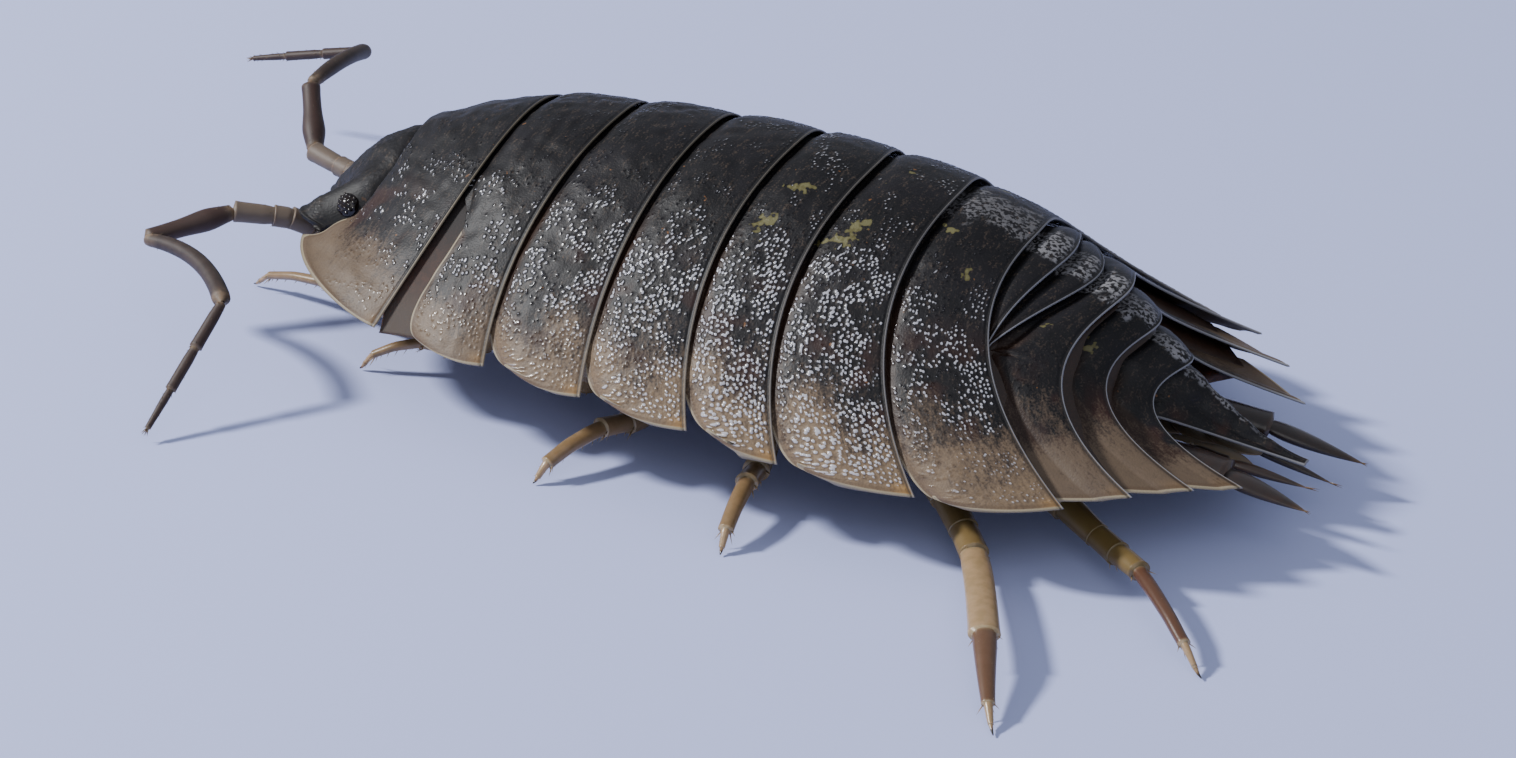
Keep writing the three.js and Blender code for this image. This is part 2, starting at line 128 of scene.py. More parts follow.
# Yellow patches: plate, place across (-1 to 1) and along (0 to 1), half widths along and across in mm
PATCHES = [
    ("pereonite_5", -0.415, 0.42, 0.14, 0.13), ("pereonite_5", -0.4, 0.5, 0.09, 0.16),
    ("pereonite_5", -0.26, 0.5, 0.2, 0.08), ("pereonite_5", -0.235, 0.62, 0.12, 0.07),
    ("pereonite_6", -0.43, 0.2, 0.12, 0.07), ("pereonite_6", -0.41, 0.34, 0.16, 0.12),
    ("pereonite_6", -0.36, 0.42, 0.12, 0.15), ("pereonite_6", -0.33, 0.48, 0.07, 0.12),
    ("pereonite_7", -0.23, 0.32, 0.19, 0.06), ("pereonite_7", -0.4, 0.68, 0.09, 0.08),
    ("pleonite_4", -0.5, 0.55, 0.1, 0.11), ("pereonite_6", 0.01, 0.5, 0.07, 0.05),
    ("pereonite_6", -0.115, 0.35, 0.05, 0.04), ("pleonite_3", -0.44, 0.5, 0.05, 0.07),
    ("pereonite_4", 0.3, 0.5, 0.12, 0.1), ("pereonite_5", 0.37, 0.45, 0.15, 0.12),
    ("pereonite_6", 0.42, 0.4, 0.16, 0.13), ("pereonite_6", 0.36, 0.52, 0.08, 0.1),
    ("pereonite_7", 0.28, 0.4, 0.14, 0.07), ("pleonite_4", 0.48, 0.55, 0.08, 0.1),
]


# Numbers
def smooth(low, high, value):
    """0 below low and 1 above high, with the cubic step 3t2 - 2t3 between them."""
    share = np.clip((value - low) / (high - low), 0, 1)
    return share * share * (3 - 2 * share)


def mix(a, b, share):
    """a at share 0 and b at share 1, in a straight line."""
    return a + (b - a) * share


def xyz(x, y, z):
    """One array of points from three arrays of coordinates."""
    return np.stack(np.broadcast_arrays(x, y, z), axis=-1).astype(float)


def put(points):
    """Points of the animal's layout in mm, as points of the row frame in metres."""
    return (np.asarray(points, float).reshape(-1, 3) + TO_BOX_CENTRE) * MM


def unit(vectors):
    """Vectors scaled to length 1."""
    return vectors / np.maximum(np.linalg.norm(vectors, axis=-1, keepdims=True), 1e-12)


def waves(points, size, seed, count=26):
    """Soft random swells about `size` mm across: a sum of cosines along seeded directions, about -1 to 1."""
    draw = np.random.default_rng(seed)
    ways = unit(draw.normal(size=(count, 3))) * draw.uniform(0.6, 1.5, (count, 1)) * 2 * math.pi / size
    return np.cos(points @ ways.T + draw.uniform(0, 2 * math.pi, count)).sum(-1) / math.sqrt(count / 2)


def granules(a, b, seed, loose=0.5, wide=0.22, bare=0.0):
    """Separate grains with flat, tilted tops, 0 between them and about 1 on top. a and b count grains along and
    across. Each grain is 1 - q^2 high, with q the squared distance from its own middle over wide, and is tilted at
    random. Its middle lies in a staggered grid, moved by up to half of loose, and the highest one at a point counts.
    bare is the share of places that stay without a grain."""
    table = np.random.default_rng(seed).random((61, 67, 5))
    height = np.zeros(a.shape)
    row, column = np.floor(a).astype(int), np.floor(b).astype(int)
    for i in (-1, 0, 1):
        for j in (-1, 0, 1):
            r, c = row + i, column + j
            draw = table[r % 61, c % 67]
            da = a - (r + 0.5 + loose * (draw[..., 0] - 0.5))
            db = b - (c + 0.25 + 0.5 * (r % 2) + loose * (draw[..., 1] - 0.5))
            tilt = (da * (draw[..., 3] - 0.5) + db * (draw[..., 4] - 0.5)) * 2.6
            top = np.maximum(0, 0.6 + 0.4 * draw[..., 2] + tilt) * np.clip((draw[..., 2] - bare) / 0.12, 0, 1)
            grain = np.maximum(0, 1 - ((da * da + db * db) / wide) ** 2) * top
            height = np.maximum(height, grain)
    return height


# Meshes
def grid(rows, columns, start=0, ring=False):
    """Quads of a grid of rows by columns of points, facing d(row) x d(column). ring joins the last column to the
    first."""
    index = start + np.arange(rows * columns).reshape(rows, columns)
    if ring:
        index = np.concatenate([index, index[:, :1]], axis=1)
    return np.stack([index[:-1, :-1], index[1:, :-1], index[1:, 1:], index[:-1, 1:]], -1).reshape(-1, 4)


def joined(parts):
    """Several (points, list of face arrays) as one."""
    points, faces, start = [], [], 0
    for some, kinds in parts:
        points.append(some.reshape(-1, 3))
        faces += [kind + start for kind in kinds]
        start += len(points[-1])
    return np.concatenate(points), faces


def piece(name, points, faces, finish, nodes=(), values=None):
    """A mesh object that rides on the body and stands for the named solids. values are named point attributes."""
    mesh = bpy.data.meshes.new(name)
    placed = put(points).astype(np.float32)
    mesh.vertices.add(len(placed))
    mesh.vertices.foreach_set("co", placed.ravel())
    sizes = np.concatenate([np.full(len(kind), kind.shape[1]) for kind in faces])
    mesh.loops.add(int(sizes.sum()))
    mesh.loops.foreach_set("vertex_index", np.concatenate([kind.ravel() for kind in faces]).astype(np.int32))
    mesh.polygons.add(len(sizes))
    mesh.polygons.foreach_set("loop_start", (np.cumsum(sizes) - sizes).astype(np.int32))
    mesh.update(calc_edges=True)
    mesh.polygons.foreach_set("use_smooth", np.ones(len(sizes), bool))
    for key, value in (values or {}).items():
        value = np.asarray(value, np.float32)
        wide = value.ndim == 2
        kind = "FLOAT_VECTOR" if wide else "FLOAT"
        attribute = mesh.attributes.new(key, kind, "POINT")
        attribute.data.foreach_set("vector" if wide else "value", value.ravel())
    mesh.materials.append(finish)
    obj = bpy.data.objects.new(name, mesh)
    bpy.context.scene.collection.objects.link(obj)
    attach(obj, BODY)
    if nodes:
        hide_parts(*nodes)
    return obj


def sheet_shape(surface, rows, columns, thickness, relief=None, coarse=4):
    """A thin closed plate with rounded edges over a surface of two parameters.

    surface(u, s) gives points for u from 0 to 1 and s from -1 to 1. The outer sheet is the surface, the inner one lies
    one thickness inside it, and both run together at the rim along a half circle: at e mm from the rim they keep
    sqrt(1 - (1 - e / radius)^2) of the thickness. relief() lifts both sheets. The inner sheet has one row and column
    in `coarse` of the outer one's, and a band of triangles joins the two. Rows and columns crowd towards the rim by
    a sine. Returns points, faces, the measured facts and a function that spreads a value over both sheets."""
    run = np.linspace(0, 1, rows + 1)
    u = run - 0.35 * np.sin(2 * math.pi * run) / (2 * math.pi)
    even = np.linspace(-1, 1, columns + 1)
    track = surface(np.full(801, 0.8), np.linspace(-1, 1, 801))
    length = np.concatenate([[0], np.cumsum(np.linalg.norm(np.diff(track, axis=0), axis=1))])
    s = np.interp((even + 1) / 2 - 0.35 * np.sin(math.pi * (even + 1)) / (2 * math.pi),
                  length / length[-1], np.linspace(-1, 1, 801))
    s[0], s[-1] = -1, 1
    uu, ss = np.meshgrid(u, s, indexing="ij")
    base = surface(uu, ss)
    along, sideways = np.gradient(base, axis=0), np.gradient(base, axis=1)
    normal = unit(np.cross(along, sideways))
    slant = np.linalg.norm(np.cross(unit(along), unit(sideways)), axis=-1)
    step_u = np.linalg.norm(np.diff(base, axis=0), axis=-1)
    step_s = np.linalg.norm(np.diff(base, axis=1), axis=-1)
    from_front = np.concatenate([np.zeros((1, columns + 1)), np.cumsum(step_u, 0)]) * slant
    to_hind = np.concatenate([np.cumsum(step_u[::-1], 0)[::-1], np.zeros((1, columns + 1))]) * slant
    reach = np.concatenate([np.zeros((rows + 1, 1)), np.cumsum(step_s, 1)], axis=1)
    to_side = np.minimum(reach, reach[:, -1:] - reach) * slant
    to_rim = np.minimum(np.minimum(from_front, to_hind), to_side)
    facts = dict(u=uu, s=ss, out=np.abs(ss), base=base, normal=normal, from_front=from_front, to_hind=to_hind,
                 to_side=to_side, reach=reach, to_rim=to_rim)
    thick = thickness(facts)
    raised = relief(facts) if relief else np.zeros_like(uu)
    share = np.clip(to_rim / (0.5 * thick), 0, 1)
    round_ = np.sqrt(np.maximum(0, 1 - (1 - share) ** 2))
    outer = base + normal * (raised - 0.5 * thick * (1 - round_))[..., None]
    inner = base + normal * (raised - 0.5 * thick * (1 + round_))[..., None]
    wide = columns + 1
    pick_r = np.arange(0, rows + 1, coarse)
    pick_c = np.arange(0, columns + 1, coarse)
    pick_r[0], pick_r[-1] = 2, rows - 2
    pick_c[0], pick_c[-1] = 2, columns - 2
    low = inner[np.ix_(pick_r, pick_c)]
    n_r, n_c = len(pick_r), len(pick_c)
    faces = [grid(rows + 1, wide), grid(n_r, n_c, outer.size // 3)[:, ::-1]]

    def loop(height, width):
        index = np.arange(height * width).reshape(height, width)
        return np.concatenate([index[0, :-1], index[:-1, -1], index[-1, :0:-1], index[:0:-1, 0]])

    fine = loop(rows + 1, wide)
    rough = loop(n_r, n_c) + outer.size // 3
    k = np.arange(len(rough))
    for i in range(coarse):
        f0 = fine[k * coarse + i]
        f1 = fine[(k * coarse + i + 1) % len(fine)]
        faces.append(np.stack([f0, f1, rough[k]], -1))
    faces.append(np.stack([fine[((k + 1) * coarse) % len(fine)], rough[(k + 1) % len(rough)], rough[k]], -1))
    points = np.concatenate([outer.reshape(-1, 3), low.reshape(-1, 3)])

    def spread(value):
        value = np.broadcast_to(value, uu.shape)
        return np.concatenate([value.ravel(), value[np.ix_(pick_r, pick_c)].ravel()])

    return points, faces, facts, spread


def loft(path, radii, sides, flat=1.0):
    """A closed limb: rings of `sides` points round a path, each ring square to it and an ellipse whose upright radius
    is `flat` times the level one. The first and last rings close on a point. Nothing goes below the floor."""
    path = np.asarray(path, float)
    radii = np.asarray(radii, float)
    way = unit(np.gradient(path, axis=0))
    level = unit(np.cross(np.array([0, 0, 1.0]), way))
    upright = np.cross(way, level)
    turn = 2 * math.pi * np.arange(sides) / sides
    flat = np.broadcast_to(flat, radii.shape)
    ring = (level[:, None] * np.cos(turn)[None, :, None] * radii[:, None, None]
            + upright[:, None] * np.sin(turn)[None, :, None] * (radii * flat)[:, None, None])
    body = (path[:, None] + ring).reshape(-1, 3)
    points = np.concatenate([body, path[:1], path[-1:]])
    points[:, 2] = np.maximum(points[:, 2], 0)
    n = len(path)
    k = np.arange(sides)
    nxt = (k + 1) % sides
    first, last = np.full(sides, n * sides), np.full(sides, n * sides + 1)
    end = (n - 1) * sides
    caps = np.concatenate([np.stack([first, k, nxt], -1), np.stack([last, end + k, end + nxt], -1)[:, ::-1]])
    return points, [grid(n, sides, ring=True)[:, ::-1], caps]


def bristles(roots, ways, lengths, radii, sides=5):
    """Many closed spines: for each one a ring at its root, a narrower ring half way and a tip, in a straight line
    root + way t. Nothing goes below the floor."""
    roots, ways = np.asarray(roots, float), unit(np.asarray(ways, float))
    lengths, radii = np.broadcast_to(lengths, len(roots)), np.broadcast_to(radii, len(roots))
    level = unit(np.cross(ways, np.array([0.31, 0.17, 0.93])))
    other = np.cross(ways, level)
    turn = 2 * math.pi * np.arange(sides) / sides
    spoke = level[:, None] * np.cos(turn)[None, :, None] + other[:, None] * np.sin(turn)[None, :, None]
    base = roots[:, None] + spoke * radii[:, None, None]
    half = (roots + ways * lengths[:, None] * 0.5)[:, None] + spoke * radii[:, None, None] * 0.6
    tip = (roots + ways * lengths[:, None])[:, None]
    points = np.concatenate([base, half, tip], axis=1)
    points[..., 2] = np.maximum(points[..., 2], 0)
    each = np.arange(len(roots))[:, None] * (2 * sides + 1)
    k = np.arange(sides)
    nxt = (k + 1) % sides
    walls = np.stack([k, nxt, nxt + sides, k + sides], -1)
    top = np.stack([k + sides, nxt + sides, np.full(sides, 2 * sides)], -1)
    return points.reshape(-1, 3), [
        (each[..., None] + walls).reshape(-1, 4), (each[..., None] + top).reshape(-1, 3), each + k[::-1]]


def dome(middle, way, radius, height, rings=3, sides=8):
    """A closed cap: a hemisphere of that radius stretched to that height along way, with a flat closed base."""
    way = unit(np.asarray(way, float))
    level = unit(np.cross(way, [0.12, 0.25, 0.96]))
    other = np.cross(way, level)
    turn = 2 * math.pi * np.arange(sides) / sides
    tilt = np.linspace(0, math.pi / 2, rings + 1)[:-1]
    ring = [np.asarray(middle) + way * height * math.sin(t)
            + radius * math.cos(t) * (level * np.cos(turn)[:, None] + other * np.sin(turn)[:, None]) for t in tilt]
    points = np.concatenate(ring + [np.asarray(middle, float)[None] + way * height])
    k = np.arange(sides)
    nxt = (k + 1) % sides
    start = (rings - 1) * sides
    return points, [grid(rings, sides, ring=True)[:, ::-1],
                    np.stack([start + k, start + nxt, np.full(sides, rings * sides)], -1), k[None, ::-1]]


# Finishes
def linear(code):
    """An sRGB hex colour as linear numbers and an alpha of 1."""
    levels = [int(code[i:i + 2], 16) / 255 for i in (1, 3, 5)]
    return [c / 12.92 if c <= 0.04045 else ((c + 0.055) / 1.055) ** 2.4 for c in levels] + [1.0]


def add(tree, kind, inputs=None, **settings):
    """Adds one node with its settings. inputs go by socket name or number and are values or other sockets."""
    node = tree.nodes.new(kind)
    for key, value in settings.items():
        setattr(node, key, value)
    for key, value in (inputs or {}).items():
        if isinstance(value, bpy.types.NodeSocket):
            tree.links.new(value, node.inputs[key])
        else:
            node.inputs[key].default_value = value
    return node


def new_finish(name):
    """An empty material with its output and a surface shader. Returns the material, its tree and the shader."""
    material = bpy.data.materials.new(name)
    material.use_nodes = True
    tree = material.node_tree
    tree.nodes.clear()
    shader = add(tree, "ShaderNodeBsdfPrincipled")
    add(tree, "ShaderNodeOutputMaterial", {"Surface": shader.outputs[0]})
    return material, tree, shader


def chitin_shell(colours):
    """Thick waxed cuticle of the back plates. It is near black and glossy, and pale grey-blue paint on the tops of its
    grains is a painted highlight for their glints. It turns taupe and then tan where the side lobes are thin. Its
    edges are clear and colourless, which gives each plate a pale line along its rim. The dull pale stripe along the
    keel is a painted highlight, the brown strip behind each hind edge widens towards the back as painted shade, and on
    the head the groove under the first plate is painted near black as painted shade. Point attributes say how far each
    place is from the edges, in mm."""
    if "chitin_shell" in bpy.data.materials:
        return bpy.data.materials["chitin_shell"]
    material, tree, shader = new_finish("chitin_shell")
    read = {}
    for key in ("edge", "place", "extra", "track", "trim"):
        source = add(tree, "ShaderNodeAttribute", attribute_name=key).outputs["Vector"]
        read[key] = add(tree, "ShaderNodeSeparateXYZ", {0: source}).outputs
    hind, side, front = read["edge"]
    out, grain, pale = read["place"]
    patch, tan, chalk = read["extra"]
    along, across, number = read["track"]
    line, dull, grey = read["trim"]
    where = add(tree, "ShaderNodeTexCoord").outputs["Object"]
    # Noise sizes in mm. The finest stands for the cuticle's cells and is drawn coarser, about two photo pixels wide.
    fog, smear, fine, freckles, crumbs = [
        add(tree, "ShaderNodeTexNoise", {"Vector": where, "Scale": 1 / (size * MM), "Detail": detail}).outputs[0]
        for size, detail in ((0.9, 4.0), (0.6, 2.0), (0.03, 2.0), (0.11, 1.0), (0.06, 3.0))]
    stretched = []
    for wide, long in ((0.045, 0.16), (0.12, 0.3)):
        scaled = [add(tree, "ShaderNodeMath", {0: value, 1: factor}, operation="MULTIPLY").outputs[0]
                  for value, factor in ((along, 1 / wide), (across, 1 / long), (number, 7.3))]
        vector = add(tree, "ShaderNodeCombineXYZ", dict(enumerate(scaled))).outputs[0]
        stretched.append(add(tree, "ShaderNodeTexNoise", {"Vector": vector, "Scale": 1.0, "Detail": 3.0}).outputs[0])
    lines, bands = stretched
    ramps = {
        "cloud": (fog, 0.4, 0.7, 0, 1),
        "dust": (fine, 0.5, 0.75, 0, 0.5),
        "flank": (out, 0.5, 0.75, 0, 1),
        "smear": (smear, 0.5, 0.66, 0, 0.6),
        # The pale paint on the grain tops is a painted highlight that stands for their glints.
        "grain": (grain, 0.5, 0.92, 0, 0.75),
        "speckle": (fine, 0.3, 0.7, -0.16, 0.16),
        "lines": (lines, 0.3, 0.7, -0.17, 0.17),
        "bands": (bands, 0.3, 0.7, -0.12, 0.12),
        "behind": (front, 0.2, 0.08, 0, 1),
        "low": (out, 0.4, 0.62, 0, 1),
        "corner_side": (side, 0.26, 0.05, 0, 1),
        "corner_hind": (hind, 0.36, 0.08, 0, 1),
        "corner_out": (out, 0.84, 0.97, 0, 1),
        "inner_rim": (side, 0.13, 0.08, 0, 0.4),
        "clear_of_rim": (side, 0.045, 0.06, 0, 1),
        "rim": (side, 0.05, 0.035, 0, 1),
        "line": (hind, 0.075, 0.05, 0, 0.75),
        "clear_of_edge": (hind, 0.03, 0.04, 0, 1),
        "edge": (hind, 0.03, 0.02, 0, 1),
        "patch": (patch, 0.25, 0.4, 0, 0.95),
        "freckle": (freckles, 0.76, 0.8, 0, 0.55),
        "core": (patch, 0.5, 0.8, 0, 0.55),
        "crumbs": (crumbs, 0.44, 0.56, 0, 1),
        "matt": (grain, 0.1, 0.5, 0.5, 0.14),
    }
    soft = {key: add(tree, "ShaderNodeMapRange", {0: value, 1: low, 2: high, 3: bottom, 4: top},
                     interpolation_type="SMOOTHSTEP").outputs[0]
            for key, (value, low, high, bottom, top) in ramps.items()}
    broken = pale
    for key in ("speckle", "lines", "bands"):
        broken = add(tree, "ShaderNodeMath", {0: broken, 1: soft[key]}, operation="ADD").outputs[0]
    for key, low, high in (("taupe", 0.1, 0.75), ("light", 0.5, 1.15)):
        soft[key] = add(tree, "ShaderNodeMapRange", {0: broken, 1: low, 2: high}).outputs[0]
    # The keel stripe is a painted highlight, broken up by crumbs below.
    soft["chalk"], soft["tan"] = chalk, tan
    soft["pale_line"] = line
    for key, factors in {
        "warm": ("smear", "flank"),
        "seam": ("behind", "low"),
        "light": ("light", "tan"),
        "corner": ("corner_side", "corner_hind", "corner_out", "tan"),
        "inner_rim": ("inner_rim", "clear_of_rim"),
        "line": ("line", "clear_of_edge"),
        "edge": ("edge", "pale_line"),
        "chalk": ("chalk", "crumbs"),
    }.items():
        value = soft[factors[0]]
        for other in factors[1:]:
            value = add(tree, "ShaderNodeMath", {0: value, 1: soft[other]}, operation="MULTIPLY").outputs[0]
        soft[key] = value
    edge_colour = add(tree, "ShaderNodeMix", {0: grey, 6: [*colours.rim_pale, 1.0], 7: [*colours.edge_grey, 1.0]},
                      data_type="RGBA").outputs[2]
    base = [*colours.shell_black, 1.0]
    for mask, colour in (
        ("cloud", colours.shell_grey), ("dust", colours.dust_grey), ("warm", colours.warm_brown),
        ("freckle", colours.freckle_ochre), ("seam", colours.seam_brown_and_shade), ("taupe", colours.taupe),
        ("light", colours.tan), ("grain", colours.painted_glint_grey), ("corner", colours.corner_orange),
        ("inner_rim", colours.rim_brown), ("rim", colours.rim_pale), ("line", colours.shell_black),
        ("edge", edge_colour), ("patch", colours.patch_yellow), ("core", colours.patch_pale),
        ("chalk", colours.keel_highlight_grey),
    ):
        colour = colour if isinstance(colour, bpy.types.NodeSocket) else [*colour, 1.0]
        base = add(tree, "ShaderNodeMix", {0: soft[mask], 6: base, 7: colour}, data_type="RGBA").outputs[2]
    tree.links.new(base, shader.inputs["Base Color"])
    dull = add(tree, "ShaderNodeMath", {0: soft["chalk"], 1: dull}, operation="MAXIMUM").outputs[0]
    gloss = add(tree, "ShaderNodeMix", {0: dull, 2: soft["matt"], 3: 0.8}).outputs[0]
    tree.links.new(gloss, shader.inputs["Roughness"])
    shader.inputs["IOR"].default_value = 1.38
    bump = add(tree, "ShaderNodeBump", {"Strength": 0.6, "Distance": 0.008 * MM, "Height": fine})
    tree.links.new(bump.outputs[0], shader.inputs["Normal"])
    return material


def limb_cuticle(name, colours, roughness, coat=0.0):
    """Thin cuticle of a limb over its flesh. colours are its pale joints, its middle, its dark middle and its tip.
    The attribute "limb" holds the share along the article, how dark the article is, and how near it is to the tip.
    Fine mottling comes from the flesh that shows through, which gives it a soft, uneven tint."""
    if name in bpy.data.materials:
        return bpy.data.materials[name]
    material, tree, shader = new_finish(name)
    source = add(tree, "ShaderNodeAttribute", attribute_name="limb").outputs["Vector"]
    along, dark, tip = add(tree, "ShaderNodeSeparateXYZ", {0: source}).outputs
    where = add(tree, "ShaderNodeTexCoord").outputs["Object"]
    mottle, fine = [
        add(tree, "ShaderNodeTexNoise", {"Vector": where, "Scale": 1 / (size * MM), "Detail": 3.0}).outputs[0]
        for size in (0.13, 0.035)]
    start, end, speckle = [
        add(tree, "ShaderNodeMapRange", {0: value, 1: low, 2: high}, interpolation_type="SMOOTHSTEP").outputs[0]
        for value, low, high in ((along, 0.02, 0.16), (along, 1.0, 0.9), (mottle, 0.36, 0.66))]
    middle = add(tree, "ShaderNodeMath", {0: start, 1: end}, operation="MULTIPLY").outputs[0]
    shaded = add(tree, "ShaderNodeMath", {0: middle, 1: dark}, operation="MULTIPLY").outputs[0]
    flecks = add(tree, "ShaderNodeMath", {0: speckle, 1: 0.6}, operation="MULTIPLY").outputs[0]
    base = [*linear(colours[0])]
    for mask, colour in ((middle, colours[1]), (flecks, colours[4]), (shaded, colours[2]), (tip, colours[3])):
        base = add(tree, "ShaderNodeMix", {0: mask, 6: base, 7: linear(colour)}, data_type="RGBA").outputs[2]
    tree.links.new(base, shader.inputs["Base Color"])
    shader.inputs["Roughness"].default_value = roughness
    shader.inputs["IOR"].default_value = 1.5
    shader.inputs["Subsurface Weight"].default_value = 0.3
    shader.inputs["Subsurface Radius"].default_value = (1.0, 0.6, 0.35)
    shader.inputs["Subsurface Scale"].default_value = 0.12 * MM
    shader.inputs["Coat Weight"].default_value = coat
    shader.inputs["Coat Roughness"].default_value = 0.15
    bump = add(tree, "ShaderNodeBump", {"Strength": 0.3, "Distance": 0.006 * MM, "Height": fine})
    tree.links.new(bump.outputs[0], shader.inputs["Normal"])
    return material


def pale_limb():
    """Cuticle of the legs: nearly clear, over tan flesh. The darker olive of the upper articles is painted shade."""
    return limb_cuticle("leg_cuticle", ("#b5a283", "#a58967", "#50301f", "#6a5832", "#8c7550"), 0.34, 0.2)


def claw_horn():
    """Hardened cuticle of a claw: amber at its root and near black at its point."""
    return limb_cuticle("claw_horn", ("#b8a484", "#a8906c", "#7a5334", "#160d0a", "#8e6d48"), 0.28, 0.4)


def feeler_cuticle():
    """Tough brown cuticle of the feelers, with paler joints."""
    return limb_cuticle("feeler_cuticle", ("#7a6753", "#372c26", "#351d16", "#6b5d50", "#1f1715"), 0.58)


def tail_cuticle():
    """Dark stiff cuticle of the tail feet, with tan tips."""
    return limb_cuticle("tail_cuticle", ("#43332a", "#2b211d", "#1e1614", "#6f5436", "#3a271d"), 0.32, 0.2)


def soft_skin():
    """Thin leathery skin between and under the plates, brown and slightly moist."""
    return limb_cuticle("joint_skin", ("#3a271b", "#3a271b", "#1c110c", "#8f7f69", "#2b1a12"), 0.5, 0.1)


def joint_sheet():
    """Half clear red brown sheet in front of the second plate. Towards the middle it is painted near black as painted
    shade under the first plate, and at the side it turns grey as painted shade for the shaded floor behind it.
    """
    return limb_cuticle("joint_sheet", ("#40261a", "#40261a", "#150b08", "#43372e", "#24150f"), 0.7)


def eye_cornea():
    """Small lenses over black pigment: very smooth and dark, so each one holds its own point of light."""
    if "eye_cornea" in bpy.data.materials:
        return bpy.data.materials["eye_cornea"]
    material, tree, shader = new_finish("eye_cornea")
    where = add(tree, "ShaderNodeTexCoord").outputs["Object"]
    cloud = add(tree, "ShaderNodeTexNoise", {"Vector": where, "Scale": 1 / (0.12 * MM)}).outputs[0]
    base = add(tree, "ShaderNodeMix", {0: cloud, 6: linear("#0b0909"), 7: linear("#1c0f0c")}, data_type="RGBA")
    tree.links.new(base.outputs[2], shader.inputs["Base Color"])
    shader.inputs["Roughness"].default_value = 0.12
    shader.inputs["IOR"].default_value = 1.5
    return material


# Plates
def arch(out):
    """Height of the cross section: 1 - out^2.1, mixed with 13% of a cosine that flares the side edge."""
    return mix(1 - out ** ARCH_POWER, 0.5 * (1 + np.cos(math.pi * out)), ARCH_FLARE)


def hind_edge(plate, out):
    """x runs from mid to tip with out^sweep, less a forward bow of out^2 (1 - out). y is half times out, and z the
    arch between low and top."""
    return xyz(plate["mid"] + (plate["tip"] - plate["mid"]) * out ** plate["sweep"]
               - plate["bow"] * BEND * out * out * (1 - out),
               plate["half"] * out,
               plate["low"] + (plate["top"] - plate["low"]) * arch(out))


def bay_edge(out, inset=0.0):
    """Front edge of the first plate round the head: a superellipse in plan, under an arch (1 - out^2)^0.8."""
    reach = np.maximum(0, 1 - out ** BAY["power"]) ** (1 / BAY["power"])
    fall = np.maximum(0, 1 - out * out) ** 0.8
    return xyz(BAY["start"] + (BAY["depth"] - inset) * reach, (BAY["half"] - inset) * out,
               mix(BAY["low"], BAY["top"], fall))


def trunk_end(out):
    """Hind edge of the last trunk plate."""
    return hind_edge(TRUNK[-1], out)


def collar_edge(collar, before, out):
    """Hind edge of a collar: the last trunk plate's, pushed back by reach (1 - (out / end)^2) and down by as much of
    drop, and always clear of the edge before it."""
    edge = trunk_end(out)
    open_ = np.maximum(0, 1 - (out / COLLAR_END) ** 2)
    edge[..., 2] -= collar["drop"] * open_
    edge[..., 0] = np.maximum(edge[..., 0] + collar["reach"] * open_, before(out)[..., 0] + 0.04)
    return edge


def edges():
    """Every plate in order from the head: its values, its name, the edge before it and its hind edge."""
    order = []
    before = bay_edge
    for plate in TRUNK:
        hind = lambda out, plate=plate: hind_edge(plate, out)
        order.append((plate, before, hind))
        before = hind
    for collar in COLLARS:
        hind = lambda out, collar=collar, last=before: collar_edge(collar, last, out)
        order.append((collar, before, hind))
        before = hind
    inner = before
    before = lambda out: np.where((out < COLLAR_END)[..., None], inner(out), trunk_end(out))
    for plate in PLEON:
        hind = lambda out, plate=plate: hind_edge(plate, out)
        order.append((plate, before, hind))
        before = hind
    return order


def plate_tuck(plate, out):
    """Share of the overlap that a plate reaches under the one before it. It falls smoothly from 1 to a half at the
    side of the trunk, and rises to 4 at the side of the tail part, whose lobes lie one on another."""
    if plate in PLEON:
        return mix(1, 4, smooth(0.35, 0.7, out))
    return mix(1, 0.5, smooth(0.65, 0.95, out))


def plate_surface(plate, before, hind, sizes, widest=1.0):
    """The outer surface of a plate, ruled from u = 0, which lies under the plate before it, to its hind edge at 1.
    A crown 4u(1-u) fills it, and the side edge bulges by as much times out^4. The front corner is a quarter circle.
    The first plate's corner stands a little further back, out and up, beside the head, and its side bends forward
    by u (1-u)^3 out^4."""
    first = before is bay_edge

    def surface(u, s):
        out = np.abs(s) * widest
        front, back = before(out), hind(out)
        if first:
            turn = np.clip((out - 0.93) / 0.07, 0, 1)
            corner = 1 - np.sqrt(1 - turn * turn)
            front[..., 0] += 0.21 * corner
            front[..., 1] += 0.13 * corner
            front[..., 2] += 0.16 * smooth(0.86, 0.97, out)
        else:
            open_ = smooth(0.45, 0.68, out) if plate["free"] else 0
            tuck = sizes.overlap / MM * (1 - open_) * plate_tuck(plate, out)
            turn = np.clip((out - ROUND_FROM) / (1 - ROUND_FROM), 0, 1)
            front[..., 0] += plate["free"] * open_ - tuck + plate["round"] * (1 - np.sqrt(1 - turn * turn))
        swell = 4 * u * (1 - u)
        margin = swell * out ** 4
        point = front + (back - front) * u[..., None]
        point[..., 1] += margin * plate["bulge"]
        if first:
            point[..., 0] -= 1.25 * u * (1 - u) ** 3 * out ** 4
        point[..., 2] += swell * 0.05 * (1 - out ** 4) - margin * plate["sag"]
        point[..., 1] *= np.sign(s)
        return point

    return surface


def patch_mask(plate, facts):
    """Yellow patches: for each one, 1 in its middle and 0 outside, with a ragged border that swells bend."""
    mask = np.zeros(facts["u"].shape)
    ragged = waves(facts["base"], 0.2, 31) * 0.35 + waves(facts["base"], 0.09, 32) * 0.25
    length = facts["from_front"] + facts["to_hind"]
    for name, s, u, long, wide in PATCHES:
        if name == plate["name"]:
            middle = plate["half"] * s
            far = np.hypot((facts["u"] - u) * length / long, (facts["base"][..., 1] - middle) / wide)
            mask = np.maximum(mask, 1 - far + ragged)
    return mask


